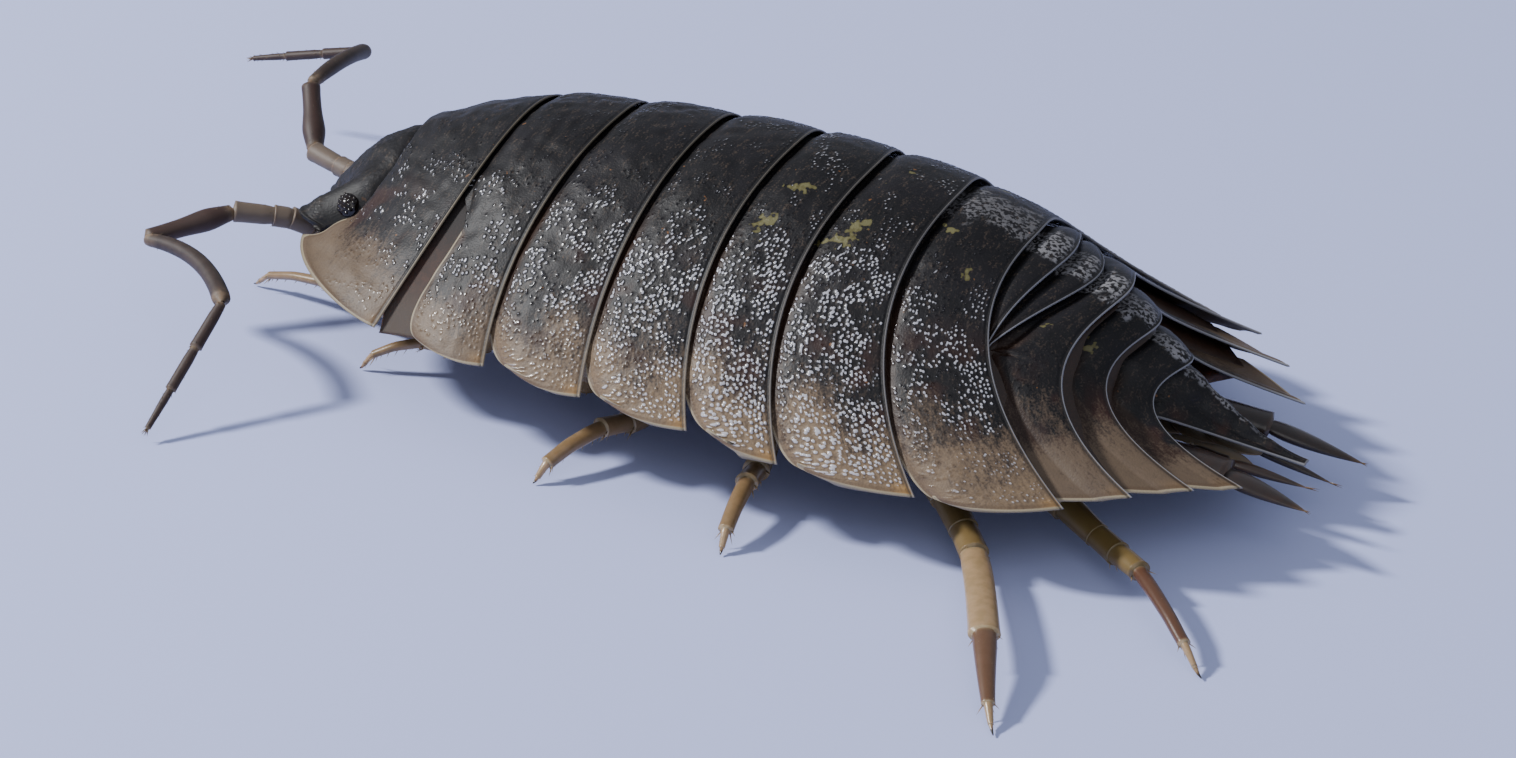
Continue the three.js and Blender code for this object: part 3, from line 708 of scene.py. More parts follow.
def build_plate(plate, before, hind, sizes, colours, seed, rows, columns, widest=1.0):
    """One shell plate. Its relief is a step down behind the plate before it, exp(-d / 0.18) of it, a bead and a
    shallow band along the hind edge, soft hollows, and granules that fade towards every edge."""
    surface = plate_surface(plate, before, hind, sizes, widest)
    first = before is bay_edge
    seen = {}

    def thickness(facts):
        full = mix(0.13, 0.1, smooth(0.5, 1, facts["out"]))
        return mix(0.04, full, smooth(0, 0.45, facts["to_rim"]))

    def relief(facts):
        out = facts["out"] * widest
        open_ = smooth(0.45, 0.68, out) if plate["free"] else np.zeros_like(out)
        tuck = 0 * out if first else sizes.overlap / MM * (1 - open_) * plate_tuck(plate, out)
        shown = facts["from_front"] - tuck
        seen["front"] = shown + 10 * open_
        ramp = np.exp(-np.maximum(shown, 0) / 0.18)
        drop = 0 * out if first else sizes.step / MM * mix(1.05, 0.6, smooth(0.5, 0.9, out)) * (1 - open_)
        point = facts["base"]
        near = facts["to_hind"]
        fade = smooth(0.05, 0.1, near) * smooth(0.02, 0.12, seen["front"] if not first else shown + 0.1)
        corner = smooth(0.84, 0.92, out) if not plate["free"] else open_
        seen["rim"] = np.minimum(facts["to_side"], facts["from_front"] + 3 * (1 - corner))
        fade = fade * smooth(0.07, 0.15, seen["rim"])
        rough = 0.5 + 0.5 * waves(point, 0.6, seed + 5)
        back = 0.12 + 0.42 * smooth(0.35, 0.95, rough)
        flank = 0.55 + 0.45 * smooth(0.1, 0.6, rough)
        amount = mix(back, flank, smooth(0.3, 0.6, out)) * mix(1, plate["lobe"], smooth(0.78, 0.9, out))
        amount = amount * plate["grain"] * fade
        size = sizes.grain / MM
        loose = mix(0.6, 0.95, smooth(0.3, 0.8, near))
        bare = np.clip(plate["bare"] + 0.5 * (0.5 - rough) + 0.4 * (1 - smooth(0.2, 0.5, out))
                       - 0.25 * plate["lobe"] * smooth(0.7, 0.85, out), 0, 0.95)
        cover = granules(facts["to_hind"] / size, facts["reach"] / (size * 1.25), seed, loose, 0.19, bare)
        seen["grain"] = np.clip(cover * amount * 1.2, 0, 1)
        hollow = waves(point, 0.75, seed + 1) * 0.55 + waves(point, 0.32, seed + 2) * 0.4
        calm = smooth(0.05, 0.35, near) * smooth(0, 0.3, facts["to_side"])
        dents = hollow * 0.011 * plate["dents"] * calm * mix(1, 0.6, smooth(0.5, 0.8, out))
        band = -0.009 * np.exp(-((near - 0.06) / 0.02) ** 2)
        return -drop * ramp + band + dents + cover * amount * sizes.grain_height / MM

    points, faces, facts, spread = sheet_shape(surface, rows, columns, thickness, relief)
    out = facts["out"] * widest
    level = plate["pale"] + 0.03 * waves(facts["base"], 1.1, seed + 3)
    pale = smooth(level - 0.14, level + 0.14, out) if plate["pale"] < 1 else 0 * out
    chalk = np.zeros_like(out)
    # Painted highlight: the dull pale stripe along the keel.
    if plate["chalk"]:
        stripe = 0.09 + 0.03 * waves(facts["base"], 0.3, seed + 4)
        chalk = plate["chalk"] * (1 - smooth(stripe, stripe + 0.05, out)) * smooth(0.04, 0.08, facts["to_hind"])
    values = dict(
        edge=np.stack([spread(facts["to_hind"]), spread(seen["rim"] if widest == 1 else AWAY),
                       # The front distance is shortened towards the back, widening the dark seam strip there as
                       # painted shade.
                       spread(seen["front"] * mix(0.5, 1.2, smooth(0.35, 0.75, out)) if not first else AWAY)], -1),
        place=np.stack([spread(out), spread(seen["grain"]), spread(pale)], -1),
        extra=np.stack([spread(patch_mask(plate, facts)), spread(plate["tan"]), spread(chalk)], -1),
        track=np.stack([spread(facts["to_hind"]), spread(facts["reach"]), spread(float(seed))], -1),
        trim=np.stack([spread(mix(*plate["line"], smooth(0.3, 0.75, out))), spread(0.0), spread(plate["grey"])], -1),
    )
    return piece(plate["name"] + "_plate", points, faces, chitin_shell(colours), [plate["name"]], values)


# Head
HEAD = dict(front=0.05, dip=0.34, lobe=0.28, lobe_round=0.5, brow=1.68, rise=0.16, dome=0.34)
EYE = dict(x=0.92, y=1.33, z=2.14, radius=0.21)


def brow(out):
    """Front edge of the head: a middle lobe, a dip over each feeler and a round lobe in front of each eye."""
    turn = np.clip((out - 0.78) / 0.22, 0, 1)
    x = (HEAD["front"] + HEAD["dip"] * smooth(0.06, 0.48, out) - HEAD["lobe"] * smooth(0.48, 0.78, out)
         + HEAD["lobe_round"] * (1 - np.sqrt(1 - turn * turn)))
    return xyz(x, 1.63 * out, HEAD["brow"] + HEAD["rise"] * out)


def head_surface(u, s):
    """Dorsal shield of the head, ruled from the brow to a line under the first plate, and domed by
    sin(pi u^0.8) (1 - out^3)."""
    out = np.abs(s)
    front = brow(out)
    back = bay_edge(out * 0.97, 0.14)
    back[..., 0] += 0.3 * (1 - out ** 6)
    back[..., 2] -= 0.1 * (1 - out ** 6)
    point = front + (back - front) * u[..., None]
    point[..., 2] += HEAD["dome"] * np.sin(math.pi * u ** 0.8) * (1 - out ** 3)
    point[..., 2] += 0.1 * np.exp(-((u - 0.16) / 0.2) ** 2) * smooth(0.55, 0.8, out) * (1 - out)
    point[..., 1] *= np.sign(s)
    return point


def plate_values(facts, spread, out, grain, pale, side, chalk=0.0, hind=AWAY, dull=0.0):
    """The attributes that the shell's finish reads, for a plate that isn't built by build_plate."""
    none = np.zeros_like(facts["u"])
    return dict(edge=np.stack([spread(none + hind), spread(none + side), spread(none + AWAY)], -1),
                place=np.stack([spread(none + out), spread(none + grain), spread(none + pale)], -1),
                extra=np.stack([spread(none), spread(none), spread(none + chalk)], -1),
                track=np.stack([spread(facts["to_hind"]), spread(facts["reach"]), spread(none + 5)], -1),
                trim=np.stack([spread(none + 0.7), spread(none + dull), spread(none + 1)], -1))


def ellipsoid(middle, axes, rows=20, columns=28, bulge=None):
    """A closed ellipsoid with its poles on the x axis. bulge(unit points) scales it."""
    tilt = np.linspace(0, math.pi, rows + 1)[1:-1]
    turn = 2 * math.pi * np.arange(columns) / columns
    tt, aa = np.meshgrid(tilt, turn, indexing="ij")
    ball = xyz(-np.cos(tt), np.sin(tt) * np.cos(aa), np.sin(tt) * np.sin(aa))
    scale = bulge(ball)[..., None] if bulge else 1
    points = np.concatenate([(ball * scale).reshape(-1, 3), [[-1, 0, 0], [1, 0, 0]]]) * axes + middle
    k = np.arange(columns)
    nxt = (k + 1) % columns
    n = rows - 1
    first, last = np.full(columns, n * columns), np.full(columns, n * columns + 1)
    return points, [grid(n, columns, ring=True), np.stack([first, k, nxt], -1),
                    np.stack([last, (n - 1) * columns + nxt, (n - 1) * columns + k], -1)]


def leaf(start, end, width, thick):
    """A closed pointed leaf from start to end: half width sin(pi v)^0.6 of `width`, and an ellipse across."""
    start, end = np.asarray(start, float), np.asarray(end, float)
    v = np.linspace(0, 1, 15)
    half = width * np.sin(math.pi * np.clip(v, 0.04, 0.985)) ** 0.6
    return loft(start + (end - start) * v[:, None], half, 16, thick / width)


def limb_values(count, along, dark, tip):
    """The attribute that a limb's finish reads, the same for a whole mesh or one value for each point."""
    ones = np.ones(count)
    return dict(limb=np.stack([ones * along, ones * dark, ones * tip], -1))


# Limbs
# Height of a leg over the floor at shares of the way from hip to foot
LEG_COURSE = np.array([
    [0, 1.06], [0.1, 0.84], [0.21, 0.58], [0.25, 0.52], [0.34, 0.46], [0.38, 0.47], [0.5, 0.52], [0.54, 0.54],
    [0.65, 0.57], [0.76, 0.55], [0.79, 0.52], [0.88, 0.36], [0.94, 0.24], [0.97, 0.1], [1, 0.03],
])
LEGS = {
    "left": [
        dict(hip=(2.5, 1.6), foot=(-1, 0.7), bow=(0, -0.1)),
        dict(hip=(3.9, 1.9), foot=(1.8, 2.45), bow=(0, -0.2)),
        dict(hip=(5.4, 1.95), foot=(4.3, 1.3), bow=(0.3, 0.2)),
        dict(hip=(6.9, 2), foot=(5.7, 4.45), bow=(0, -0.2)),
        dict(hip=(8.35, 2), foot=(8.95, 5.04), bow=(0.1, 0)),
        dict(hip=(10.3, 1.95), foot=(14.15, 7.75), bow=(0.75, 0)),
        dict(hip=(11.75, 1.8), foot=(16.15, 4.95), bow=(0.85, 0)),
    ],
    "right": [
        dict(hip=(2.5, 1.6), foot=(0.9, 2.3), bow=(0.3, 0.6)),
        dict(hip=(3.9, 1.9), foot=(2.7, 3.9), bow=(0.6, 0.2)),
        dict(hip=(5.4, 1.95), foot=(4.4, 4.4), bow=(0.7, 0.2)),
        dict(hip=(6.9, 2), foot=(6.5, 4.7), bow=(0.5, 0)),
        dict(hip=(8.35, 2), foot=(8.9, 4.9), bow=(0.6, 0)),
        dict(hip=(10.1, 1.95), foot=(11.2, 5.1), bow=(1.5, 0)),
        dict(hip=(11.75, 1.8), foot=(13.2, 4.6), bow=(0.6, 0)),
    ],
}
SIDES = {"left": -1, "right": 1}
# Articles of a leg: start and end as shares of its course, radius at both, flatness, darkness and olive tint.
# The olive tint darkens the upper articles as painted shade where they lie under the body.
SLIM = [(0.0, 0.17, 0.22, 0.22, 0.95, 0.1, 0.6), (0.15, 0.28, 0.2, 0.18, 0.9, 0.1, 0.6),
        (0.265, 0.4, 0.15, 0.155, 0.9, 0.1, 0.5), (0.385, 0.575, 0.125, 0.125, 0.85, 0.15, 0.3),
        (0.56, 0.915, 0.1, 0.07, 0.85, 0.35, 0.2), (0.905, 0.972, 0.05, 0.035, 0.95, 0.0, 0.0)]
WALKING = [(0.0, 0.17, 0.24, 0.25, 0.95, 0.1, 0.6), (0.15, 0.28, 0.23, 0.21, 0.9, 0.1, 0.6),
           (0.265, 0.4, 0.19, 0.2, 0.9, 0.1, 0.5), (0.385, 0.575, 0.16, 0.17, 0.85, 0.15, 0.3),
           (0.56, 0.915, 0.135, 0.115, 0.85, 0.35, 0.2), (0.905, 0.972, 0.07, 0.045, 0.95, 0.0, 0.0)]
BROAD = [(0.0, 0.17, 0.24, 0.25, 0.95, 0.1, 0.8), (0.15, 0.26, 0.23, 0.22, 0.9, 0.1, 0.9),
         (0.245, 0.345, 0.21, 0.215, 0.85, 0.05, 0.8), (0.33, 0.73, 0.215, 0.225, 0.6, 0.0, 0.0),
         (0.715, 0.935, 0.19, 0.095, 0.75, 0.85, 0.0), (0.925, 0.975, 0.07, 0.04, 0.95, 0.0, 0.0)]
LONG = [(0.0, 0.17, 0.24, 0.25, 0.95, 0.1, 0.9), (0.15, 0.27, 0.23, 0.2, 0.9, 0.1, 1.0),
        (0.255, 0.36, 0.19, 0.2, 0.9, 0.1, 1.0), (0.345, 0.49, 0.185, 0.17, 0.85, 0.1, 0.9),
        (0.475, 0.905, 0.12, 0.095, 0.85, 0.95, 0.0), (0.895, 0.97, 0.065, 0.04, 0.95, 0.0, 0.0)]
LEG_SHAPES = [SLIM] * 2 + [WALKING] * 3 + [BROAD, LONG]
CLAW = (0.962, 1.0)

FEELERS = {
    "left": dict(root=(0.22, 1, 1.45), second=(-0.1, 1.22, 1.62), third=(-0.85, 1.68, 1.73),
                 knee=(-1.77, 2.75, 1.47), bend=(-0.6, 3.25, 1.62), elbow=(0.39, 4.2, 1.55), tip=(0.17, 6.1, 0.16)),
    "right": dict(root=(0.22, 1, 1.45), second=(-0.3, 1.15, 1.4), third=(-1.15, 1.5, 1.43),
                  knee=(-1.76, 2.5, 2.09), bend=(-1.75, 3.5, 2.12), elbow=(-1.88, 4.6, 1.87), tip=(-4, 4.5, 1.3)),
}


def leg_course(side, leg, share):
    """Middle line of a leg at shares of the way from hip to foot: straight in plan, bowed by
    share (1 - share)^2, with heights from the course table, averaged over a short stretch."""
    bend = BEND * share * (1 - share) ** 2
    spread = np.array([-0.015, 0, 0.015])
    height = np.interp(np.clip(share[:, None] + spread, 0, 1), *LEG_COURSE.T).mean(1)
    x = mix(leg["hip"][0], leg["foot"][0], share) + leg["bow"][0] * bend
    y = mix(leg["hip"][1], leg["foot"][1], share) + leg["bow"][1] * bend
    return xyz(x, side * y, height)


def article(path, radii, sides=16, flat=0.85, dark=0.0, tip=0.0, pinch=0.8):
    """One stiff length of a limb: narrow where it starts, straight sided, with a slight collar round its cut end.
    Both ends close on a half circle."""
    share = np.linspace(0, 1, len(path))
    shape = mix(pinch, 1, smooth(0, 0.35, share)) * (1 + 0.03 * np.exp(-((share - 0.94) / 0.06) ** 2))
    end = np.sqrt(np.clip(1 - ((share - 0.965) / 0.036).clip(0, 0.97) ** 2, 0, 1))
    start = np.sqrt(np.clip(1 - ((0.05 - share) / 0.052).clip(0, 0.97) ** 2, 0, 1))
    points, faces = loft(path, radii * shape * end * start, sides, flat)
    along = np.concatenate([np.repeat(share, sides), [0, 1]])
    return points, faces, along, dark, tip


def limb_piece(name, parts, finish, nodes=()):
    """Articles and bristles joined to one mesh, with their attribute."""
    points, faces = joined([(part[0], part[1]) for part in parts])
    value = [limb_values(len(part[0].reshape(-1, 3)), part[2], part[3], part[4])["limb"] for part in parts]
    return piece(name, points, faces, finish, nodes, dict(limb=np.concatenate(value)))


def spines(path, radii, where, angle, length, radius, lean=0.75, seed=1, jitter=0.25):
    """Bristles on a limb: rooted at shares `where` of its path and at `angle` round it from straight up."""
    draw = np.random.default_rng(seed)
    share = np.linspace(0, 1, len(path))
    root = np.stack([np.interp(where, share, path[:, k]) for k in range(3)], -1)
    thick = np.interp(where, share, radii)
    way = unit(np.gradient(path, axis=0))
    ahead = unit(np.stack([np.interp(where, share, way[:, k]) for k in range(3)], -1))
    level = unit(np.cross(np.array([0, 0, 1.0]), ahead))
    upright = np.cross(ahead, level)
    angle = np.broadcast_to(angle, where.shape) + draw.normal(0, jitter, where.shape)
    spoke = upright * np.cos(angle)[:, None] + level * np.sin(angle)[:, None]
    length = length * draw.uniform(0.75, 1.25, where.shape)
    points, faces = bristles(root + spoke * (thick * 0.8)[:, None], spoke + ahead * lean, length, radius)
    return points, faces, 0.5, 0.0, 0.3


def blade_shape(start, end, width, thick, rows=30, sides=20):
    """A lance-shaped blade: half width sin(pi v^0.55)^0.8 of `width`, an ellipse across, from root to point."""
    v = np.linspace(0, 1, rows + 1)
    path = start + (end - start) * v[:, None]
    half = width * np.maximum(np.sin(math.pi * np.clip(0.06 + 0.94 * v, 0, 1) ** 0.55), 0.03) ** 0.8
    points, faces = loft(path, half, sides, thick / width)
    along = np.concatenate([np.repeat(v, sides), [0, 1]])
    return points, faces, 0.5, 0.5, 0.5 * smooth(0.8, 1, along)


def tuft(start, end, count, spread, length, radius):
    """Bristles at the end of a blade, each leaning off its line by `spread`, one radian after another round it."""
    way = unit(end - start)
    ways = [way + spread * np.array([0, math.sin(a), math.cos(a)]) for a in range(count)]
    return bristles(np.repeat(end[None], count, 0) - way * 0.05, ways, length, radius)


def curve_through(start, middle, end, count):
    """A bow through three points: the parabola that passes the middle one half way."""
    start, middle, end = (np.asarray(p, float) for p in (start, middle, end))
    handle = 2 * middle - 0.5 * (start + end)
    t = np.linspace(0, 1, count)[:, None]
    return (1 - t) ** 2 * start + 2 * t * (1 - t) * handle + t * t * end


def slab_shape(upper, lower):
    """A closed body between two sheets of the same rows and columns that share their rim."""
    rows, columns = upper.shape[:2]
    rim = np.zeros((rows, columns), bool)
    rim[[0, -1]], rim[:, [0, -1]] = True, True
    upper, lower = upper.copy(), lower.copy()
    middle = 0.5 * (upper + lower)
    upper[rim], lower[rim] = middle[rim], middle[rim]
    count = rows * columns
    target = np.arange(count)
    inside = np.flatnonzero(~rim.ravel())
    lower_index = target.copy()
    lower_index[inside] = count + np.arange(len(inside))
    under = lower_index[grid(rows, columns)][:, ::-1]
    return np.concatenate([upper.reshape(-1, 3), lower.reshape(-1, 3)[inside]]), [grid(rows, columns), under]


# Values a user may change
def length_property(name, description, size, least, most):
    """A length setting, given in mm and kept in metres."""
    return FloatProperty(name=name, description=description, default=size * MM, min=least * MM, max=most * MM,
                         precision=6, unit="LENGTH")


class WoodlouseSizes(bpy.types.PropertyGroup):
    """Sizes of the shell's relief."""

    overlap: length_property("Overlap", "How far each plate reaches under the one before it", 0.2, 0.05, 0.4)
    step: length_property("Step", "How far a plate drops behind the edge before it", 0.13, 0.02, 0.3)
    grain: length_property("Grain spacing", "Distance between granules", 0.064, 0.04, 0.2)
    grain_height: length_property("Grain height", "Height of the granules", 0.015, 0, 0.05)


def colour_property(name, description, code):
    """A colour setting with an sRGB hex default."""
    return FloatVectorProperty(name=name, description=description, subtype="COLOR", size=3, min=0, max=1,
                               default=linear(code)[:3])


class WoodlouseColours(bpy.types.PropertyGroup):
    """Colours of the shell."""

    shell_black: colour_property("Shell", "Darkest shell colour", "#08070a")
    shell_grey: colour_property("Shell grey", "Cloudy grey of the back", "#131115")
    dust_grey: colour_property("Dust", "Fine pale stipple of the back", "#232023")
    # Painted highlight: pale grey-blue on the tops of the grains stands for their glints.
    painted_glint_grey: colour_property("Grain", "Tops of the granules", "#cacad1")
    warm_brown: colour_property("Smears", "Reddish brown smears on the flanks", "#361c14")
    freckle_ochre: colour_property("Freckles", "Small ochre freckles", "#8a5c30")
    # Brown of each plate's thin front strip, widened towards the back as painted shade.
    seam_brown_and_shade: colour_property("Seams", "Strip behind each hind edge", "#2b1b13")
    taupe: colour_property("Lobe", "Grey brown of the side lobes", "#57493c")
    tan: colour_property("Pale lobe", "Palest part of the side lobes", "#857057")
    corner_orange: colour_property("Corner", "Hind corner of a side lobe", "#ac8550")
    rim_brown: colour_property("Inner rim", "Line inside the rim", "#4d3a29")
    rim_pale: colour_property("Rim", "Clear edge of the plates", "#948871")
    edge_grey: colour_property("Grey edge", "Clear edge of the plates of the tail part", "#8b8b90")
    patch_yellow: colour_property("Patches", "Yellow patches on the back", "#57522f")
    patch_pale: colour_property("Patch middles", "Middles of the yellow patches", "#6d6a4a")
    # Painted highlight: the dull pale grey stripe along the keel.
    keel_highlight_grey: colour_property("Chalk", "Dull stripe on the tail part's back", "#a09fa4")


class WoodlouseTrunkPlates(bpy.types.Operator):
    """Build the seven plates of the trunk"""

    bl_idname = "mesh.woodlouse_trunk_plates"
    bl_label = "Trunk plates"

    def execute(self, context):
        scene = context.scene
        for i, (plate, before, hind) in enumerate(edges()[:len(TRUNK)]):
            rows = FIRST_PLATE_ROWS if i == 0 else TRUNK_GRID[0]
            build_plate(plate, before, hind, scene.woodlouse_sizes, scene.woodlouse_colours, TRUNK_SEED + 10 * i,
                        rows, TRUNK_GRID[1])
        points, faces, facts, spread = sheet_shape(flange_surface, 16, 240, lambda facts: 0.04 + 0 * facts["u"])
        # Painted shade: near black in the middle under the first plate, and grey at the side for the shaded floor.
        dark, low = spread(1 - smooth(0.6, 0.85, facts["out"])), spread(smooth(0.8, 0.95, facts["out"]))
        limb_piece("pereonite_2_skirt", [(points, faces, 0.5, dark, low)], joint_sheet())
        return {"FINISHED"}


def flange_surface(u, s):
    """The thin skirt in front of the second plate: from under the first plate's hind edge to the second plate's own
    front edge, a little lower than both."""
    out = np.abs(s) * 0.985
    plate = TRUNK[1]
    edge = hind_edge(TRUNK[0], out)
    turn = np.clip((out - ROUND_FROM) / (1 - ROUND_FROM), 0, 1)
    ahead = plate["free"] * smooth(0.45, 0.68, out) + plate["round"] * (1 - np.sqrt(1 - turn * turn))
    edge[..., 0] += mix(-0.22 + 0.25 * smooth(0.86, 1, out), ahead + 0.1, u)
    edge[..., 2] -= mix(0.24, 0.1, smooth(0.35, 0.6, out)) + 0.06 * (1 - u)
    edge[..., 1] *= np.sign(s)
    return edge


class WoodlouseTailPlates(bpy.types.Operator):
    """Build the five plates of the tail part"""

    bl_idname = "mesh.woodlouse_tail_plates"
    bl_label = "Tail part plates"

    def execute(self, context):
        scene = context.scene
        for i, (plate, before, hind) in enumerate(edges()[len(TRUNK):]):
            rows, columns, widest = (*COLLAR_GRID, COLLAR_END) if plate in COLLARS else (*PLEON_GRID, 1.0)
            build_plate(plate, before, hind, scene.woodlouse_sizes, scene.woodlouse_colours, TAIL_SEED + 10 * i,
                        rows, columns, widest)
        return {"FINISHED"}


class WoodlouseHead(bpy.types.Operator):
    """Build the head's shield, its face and its mouthparts"""

    bl_idname = "mesh.woodlouse_head"
    bl_label = "Head"

    def execute(self, context):
        scene = context.scene
        seen = {}

        def thickness(facts):
            return mix(0.09, 0.26, smooth(0, 0.3, facts["to_rim"]))

        def relief(facts):
            point = facts["base"]
            size = 0.075
            cover = granules(facts["from_front"] / size, facts["reach"] / (size * 1.1), 71)
            fade = smooth(0.08, 0.25, facts["to_rim"])
            eye = np.linalg.norm(point - xyz(EYE["x"], np.sign(facts["s"]) * EYE["y"], EYE["z"]), axis=-1)
            fade = fade * smooth(0.3, 0.45, eye)
            seen["grain"] = cover * fade * 0.35
            bay = (np.abs(point[..., 1] / BAY["half"]) ** 3
                   + np.maximum(0, (point[..., 0] - BAY["start"]) / BAY["depth"]) ** 3) ** (1 / 3)
            groove = np.exp(-((1 - bay) * 1.5 / 0.22) ** 2)
            # Painted shade: the groove under the first plate is painted near black; round the eye it is the eye's
            # pigment.
            seen["black"] = np.maximum(smooth(0.2, 0.6, groove), 1 - smooth(0.3, 0.42, eye))
            line = 0.03 * np.exp(-((facts["from_front"] - 0.05) / 0.05) ** 2)
            sunk = 0.03 * (1 - smooth(0.16, 0.5, eye)) + 0.11 * groove
            return cover * fade * (1 - groove) * 0.009 + waves(point, 0.5, 72) * 0.008 * fade - sunk + line

        points, faces, facts, spread = sheet_shape(head_surface, 80, 240, thickness, relief)
        # The black share brings in the shell's dark line: painted shade in the groove, black pigment round the eye.
        values = plate_values(facts, spread, 0.3, seen["grain"], 0.12 * smooth(0.9, 1, facts["out"]), AWAY,
                              hind=0.045 + 0.05 * (1 - seen["black"]), dull=0.4 - 0.3 * seen["black"])
        piece("head_shield", points, faces, chitin_shell(scene.woodlouse_colours), ["head"], values)

        face = ellipsoid((0.98, 0, 1.62), (0.66, 1.42, 0.66), 32, 48,
                         lambda ball: 1 - 0.12 * np.exp(-((ball[..., 1]) / 0.18) ** 2) * (ball[..., 0] < 0))
        parts = [(*face, 0.0, 0.2, 0.0)]
        clypeus = ellipsoid((0.46, 0, 1.3), (0.2, 0.42, 0.22), 16, 24)
        labrum = ellipsoid((0.42, 0, 1.1), (0.14, 0.3, 0.12), 14, 20)
        parts += [(*clypeus, 0.5, 0.4, 0.0), (*labrum, 0.5, 0.8, 0.0)]
        for side in SIDES.values():
            jaw = ellipsoid((0.52, side * 0.38, 1.08), (0.2, 0.2, 0.2), 14, 20)
            tooth = ellipsoid((0.36, side * 0.16, 1.0), (0.09, 0.1, 0.06), 10, 14)
            parts += [(*jaw, 0.5, 0.3, 0.0), (*tooth, 0.5, 1.0, 0.0)]
            palp = loft(curve_through((0.9, side * 0.3, 0.92), (0.55, side * 0.26, 0.86), (0.3, side * 0.2, 0.92), 12),
                        np.linspace(0.16, 0.03, 12), 12, 0.5)
            parts.append((*palp, 0.5, 0.0, 0.6))
            foot = leaf((1.5, side * 0.26, 0.98), (0.6, side * 0.2, 0.9), 0.24, 0.07)
            parts.append((*foot, 0.5, 0.0, 0.5))
            small = [(0.42, side * 0.22, 1.44), (0.26, side * 0.25, 1.46), (0.14, side * 0.24, 1.42)]
            for i in range(2):
                path = np.linspace(small[i], small[i + 1], 8)
                parts.append((*loft(path, np.linspace(0.055 - 0.02 * i, 0.04 - 0.025 * i, 8), 10), 0.5, 0.0, 0.4))
        limb_piece("face_and_mouthparts", parts, soft_skin())
        return {"FINISHED"}


class WoodlouseEyes(bpy.types.Operator):
    """Build both compound eyes, each a cluster of small lenses"""

    bl_idname = "mesh.woodlouse_eyes"
    bl_label = "Eyes"

    def execute(self, context):
        for name, side in SIDES.items():
            middle = np.array([EYE["x"], side * EYE["y"], EYE["z"]])
            look = unit(np.array([-0.3, side * 0.72, 0.62]))
            radius = EYE["radius"]
            parts = [dome(middle - look * 0.09, look, radius, 0.17, 8, 28)]
            level = unit(np.cross(look, [0, 0, 1.0]))
            upright = np.cross(look, level)
            for row in range(-2, 3):
                count = 6 - abs(row)
                for k in range(count):
                    a, b = (k - (count - 1) / 2) * 0.072, row * 0.064
                    far = math.hypot(a, b)
                    height = 0.17 * math.sqrt(max(0.05, 1 - (far / (radius * 1.04)) ** 2)) - 0.105
                    way = unit(look + (level * a + upright * b) * 4)
                    parts.append(dome(middle + look * height + level * a + upright * b, way, 0.034, 0.024, 3, 10))
            points, faces = joined(parts)
            piece(f"eye_{name}_lenses", points, faces, eye_cornea(), [f"eye_{name}"])
        return {"FINISHED"}


class WoodlouseBody(bpy.types.Operator):
    """Build the skin under the plates, the belly and the gill plates"""

    bl_idname = "mesh.woodlouse_body"
    bl_label = "Skin and belly"

    def execute(self, context):
        order = edges()
        lines = [bay_edge] + [hind for _, _, hind in order]
        fine, per = 49, 6
        s = np.linspace(-1, 1, fine)
        ribs = np.stack([line(np.abs(s) * (0.95 if 9 < i < 12 else 0.8)) for i, line in enumerate(lines)])
        ribs[..., 1] *= np.sign(s)
        ribs[:10, :, 2] -= 0.26
        ribs[10:, :, 2] -= 0.18
        ribs[1:, :, 0] -= 0.1
        ribs[-1, :, 0] -= 0.25
        steps = np.linspace(0, len(lines) - 1, per * (len(lines) - 1) + 1)
        low, part = np.floor(steps).astype(int).clip(0, len(lines) - 2), steps % 1
        part[-1] = 1
        upper = ribs[low] + (ribs[low + 1] - ribs[low]) * part[:, None, None]
        lower = upper.copy()
        lower[..., 1] *= mix(1, 0.72, smooth(0, 0.9, np.abs(s)))
        ridge = 0.07 * np.abs(np.sin(math.pi * steps))[:, None]
        lower[..., 2] = 1.16 - ridge + 0.5 * smooth(0.55, 1, np.abs(s))
        lower[..., 2] = np.minimum(lower[..., 2], upper[..., 2] - 0.1)
        points, faces = slab_shape(upper, lower)
        count = upper[..., 0].size
        under = np.zeros(len(points))
        under[count:] = 0.85
        limb_piece("body_skin", [(points, faces, 0.5, 0.3, under)], soft_skin())
        parts = []
        for i in range(5):
            for side in SIDES.values():
                x = 12.1 + 0.55 * i
                wide = 0.62 - 0.07 * i
                root = (x, side * wide * 0.9, 1.12 - 0.02 * i)
                tip = (x + 0.95, side * wide * 0.62, 0.98 - 0.02 * i)
                parts.append((*leaf(root, tip, wide * 0.8, 0.06), 0.5, 0.0, 0.7))
        limb_piece("gill_plates", parts, soft_skin())
        return {"FINISHED"}


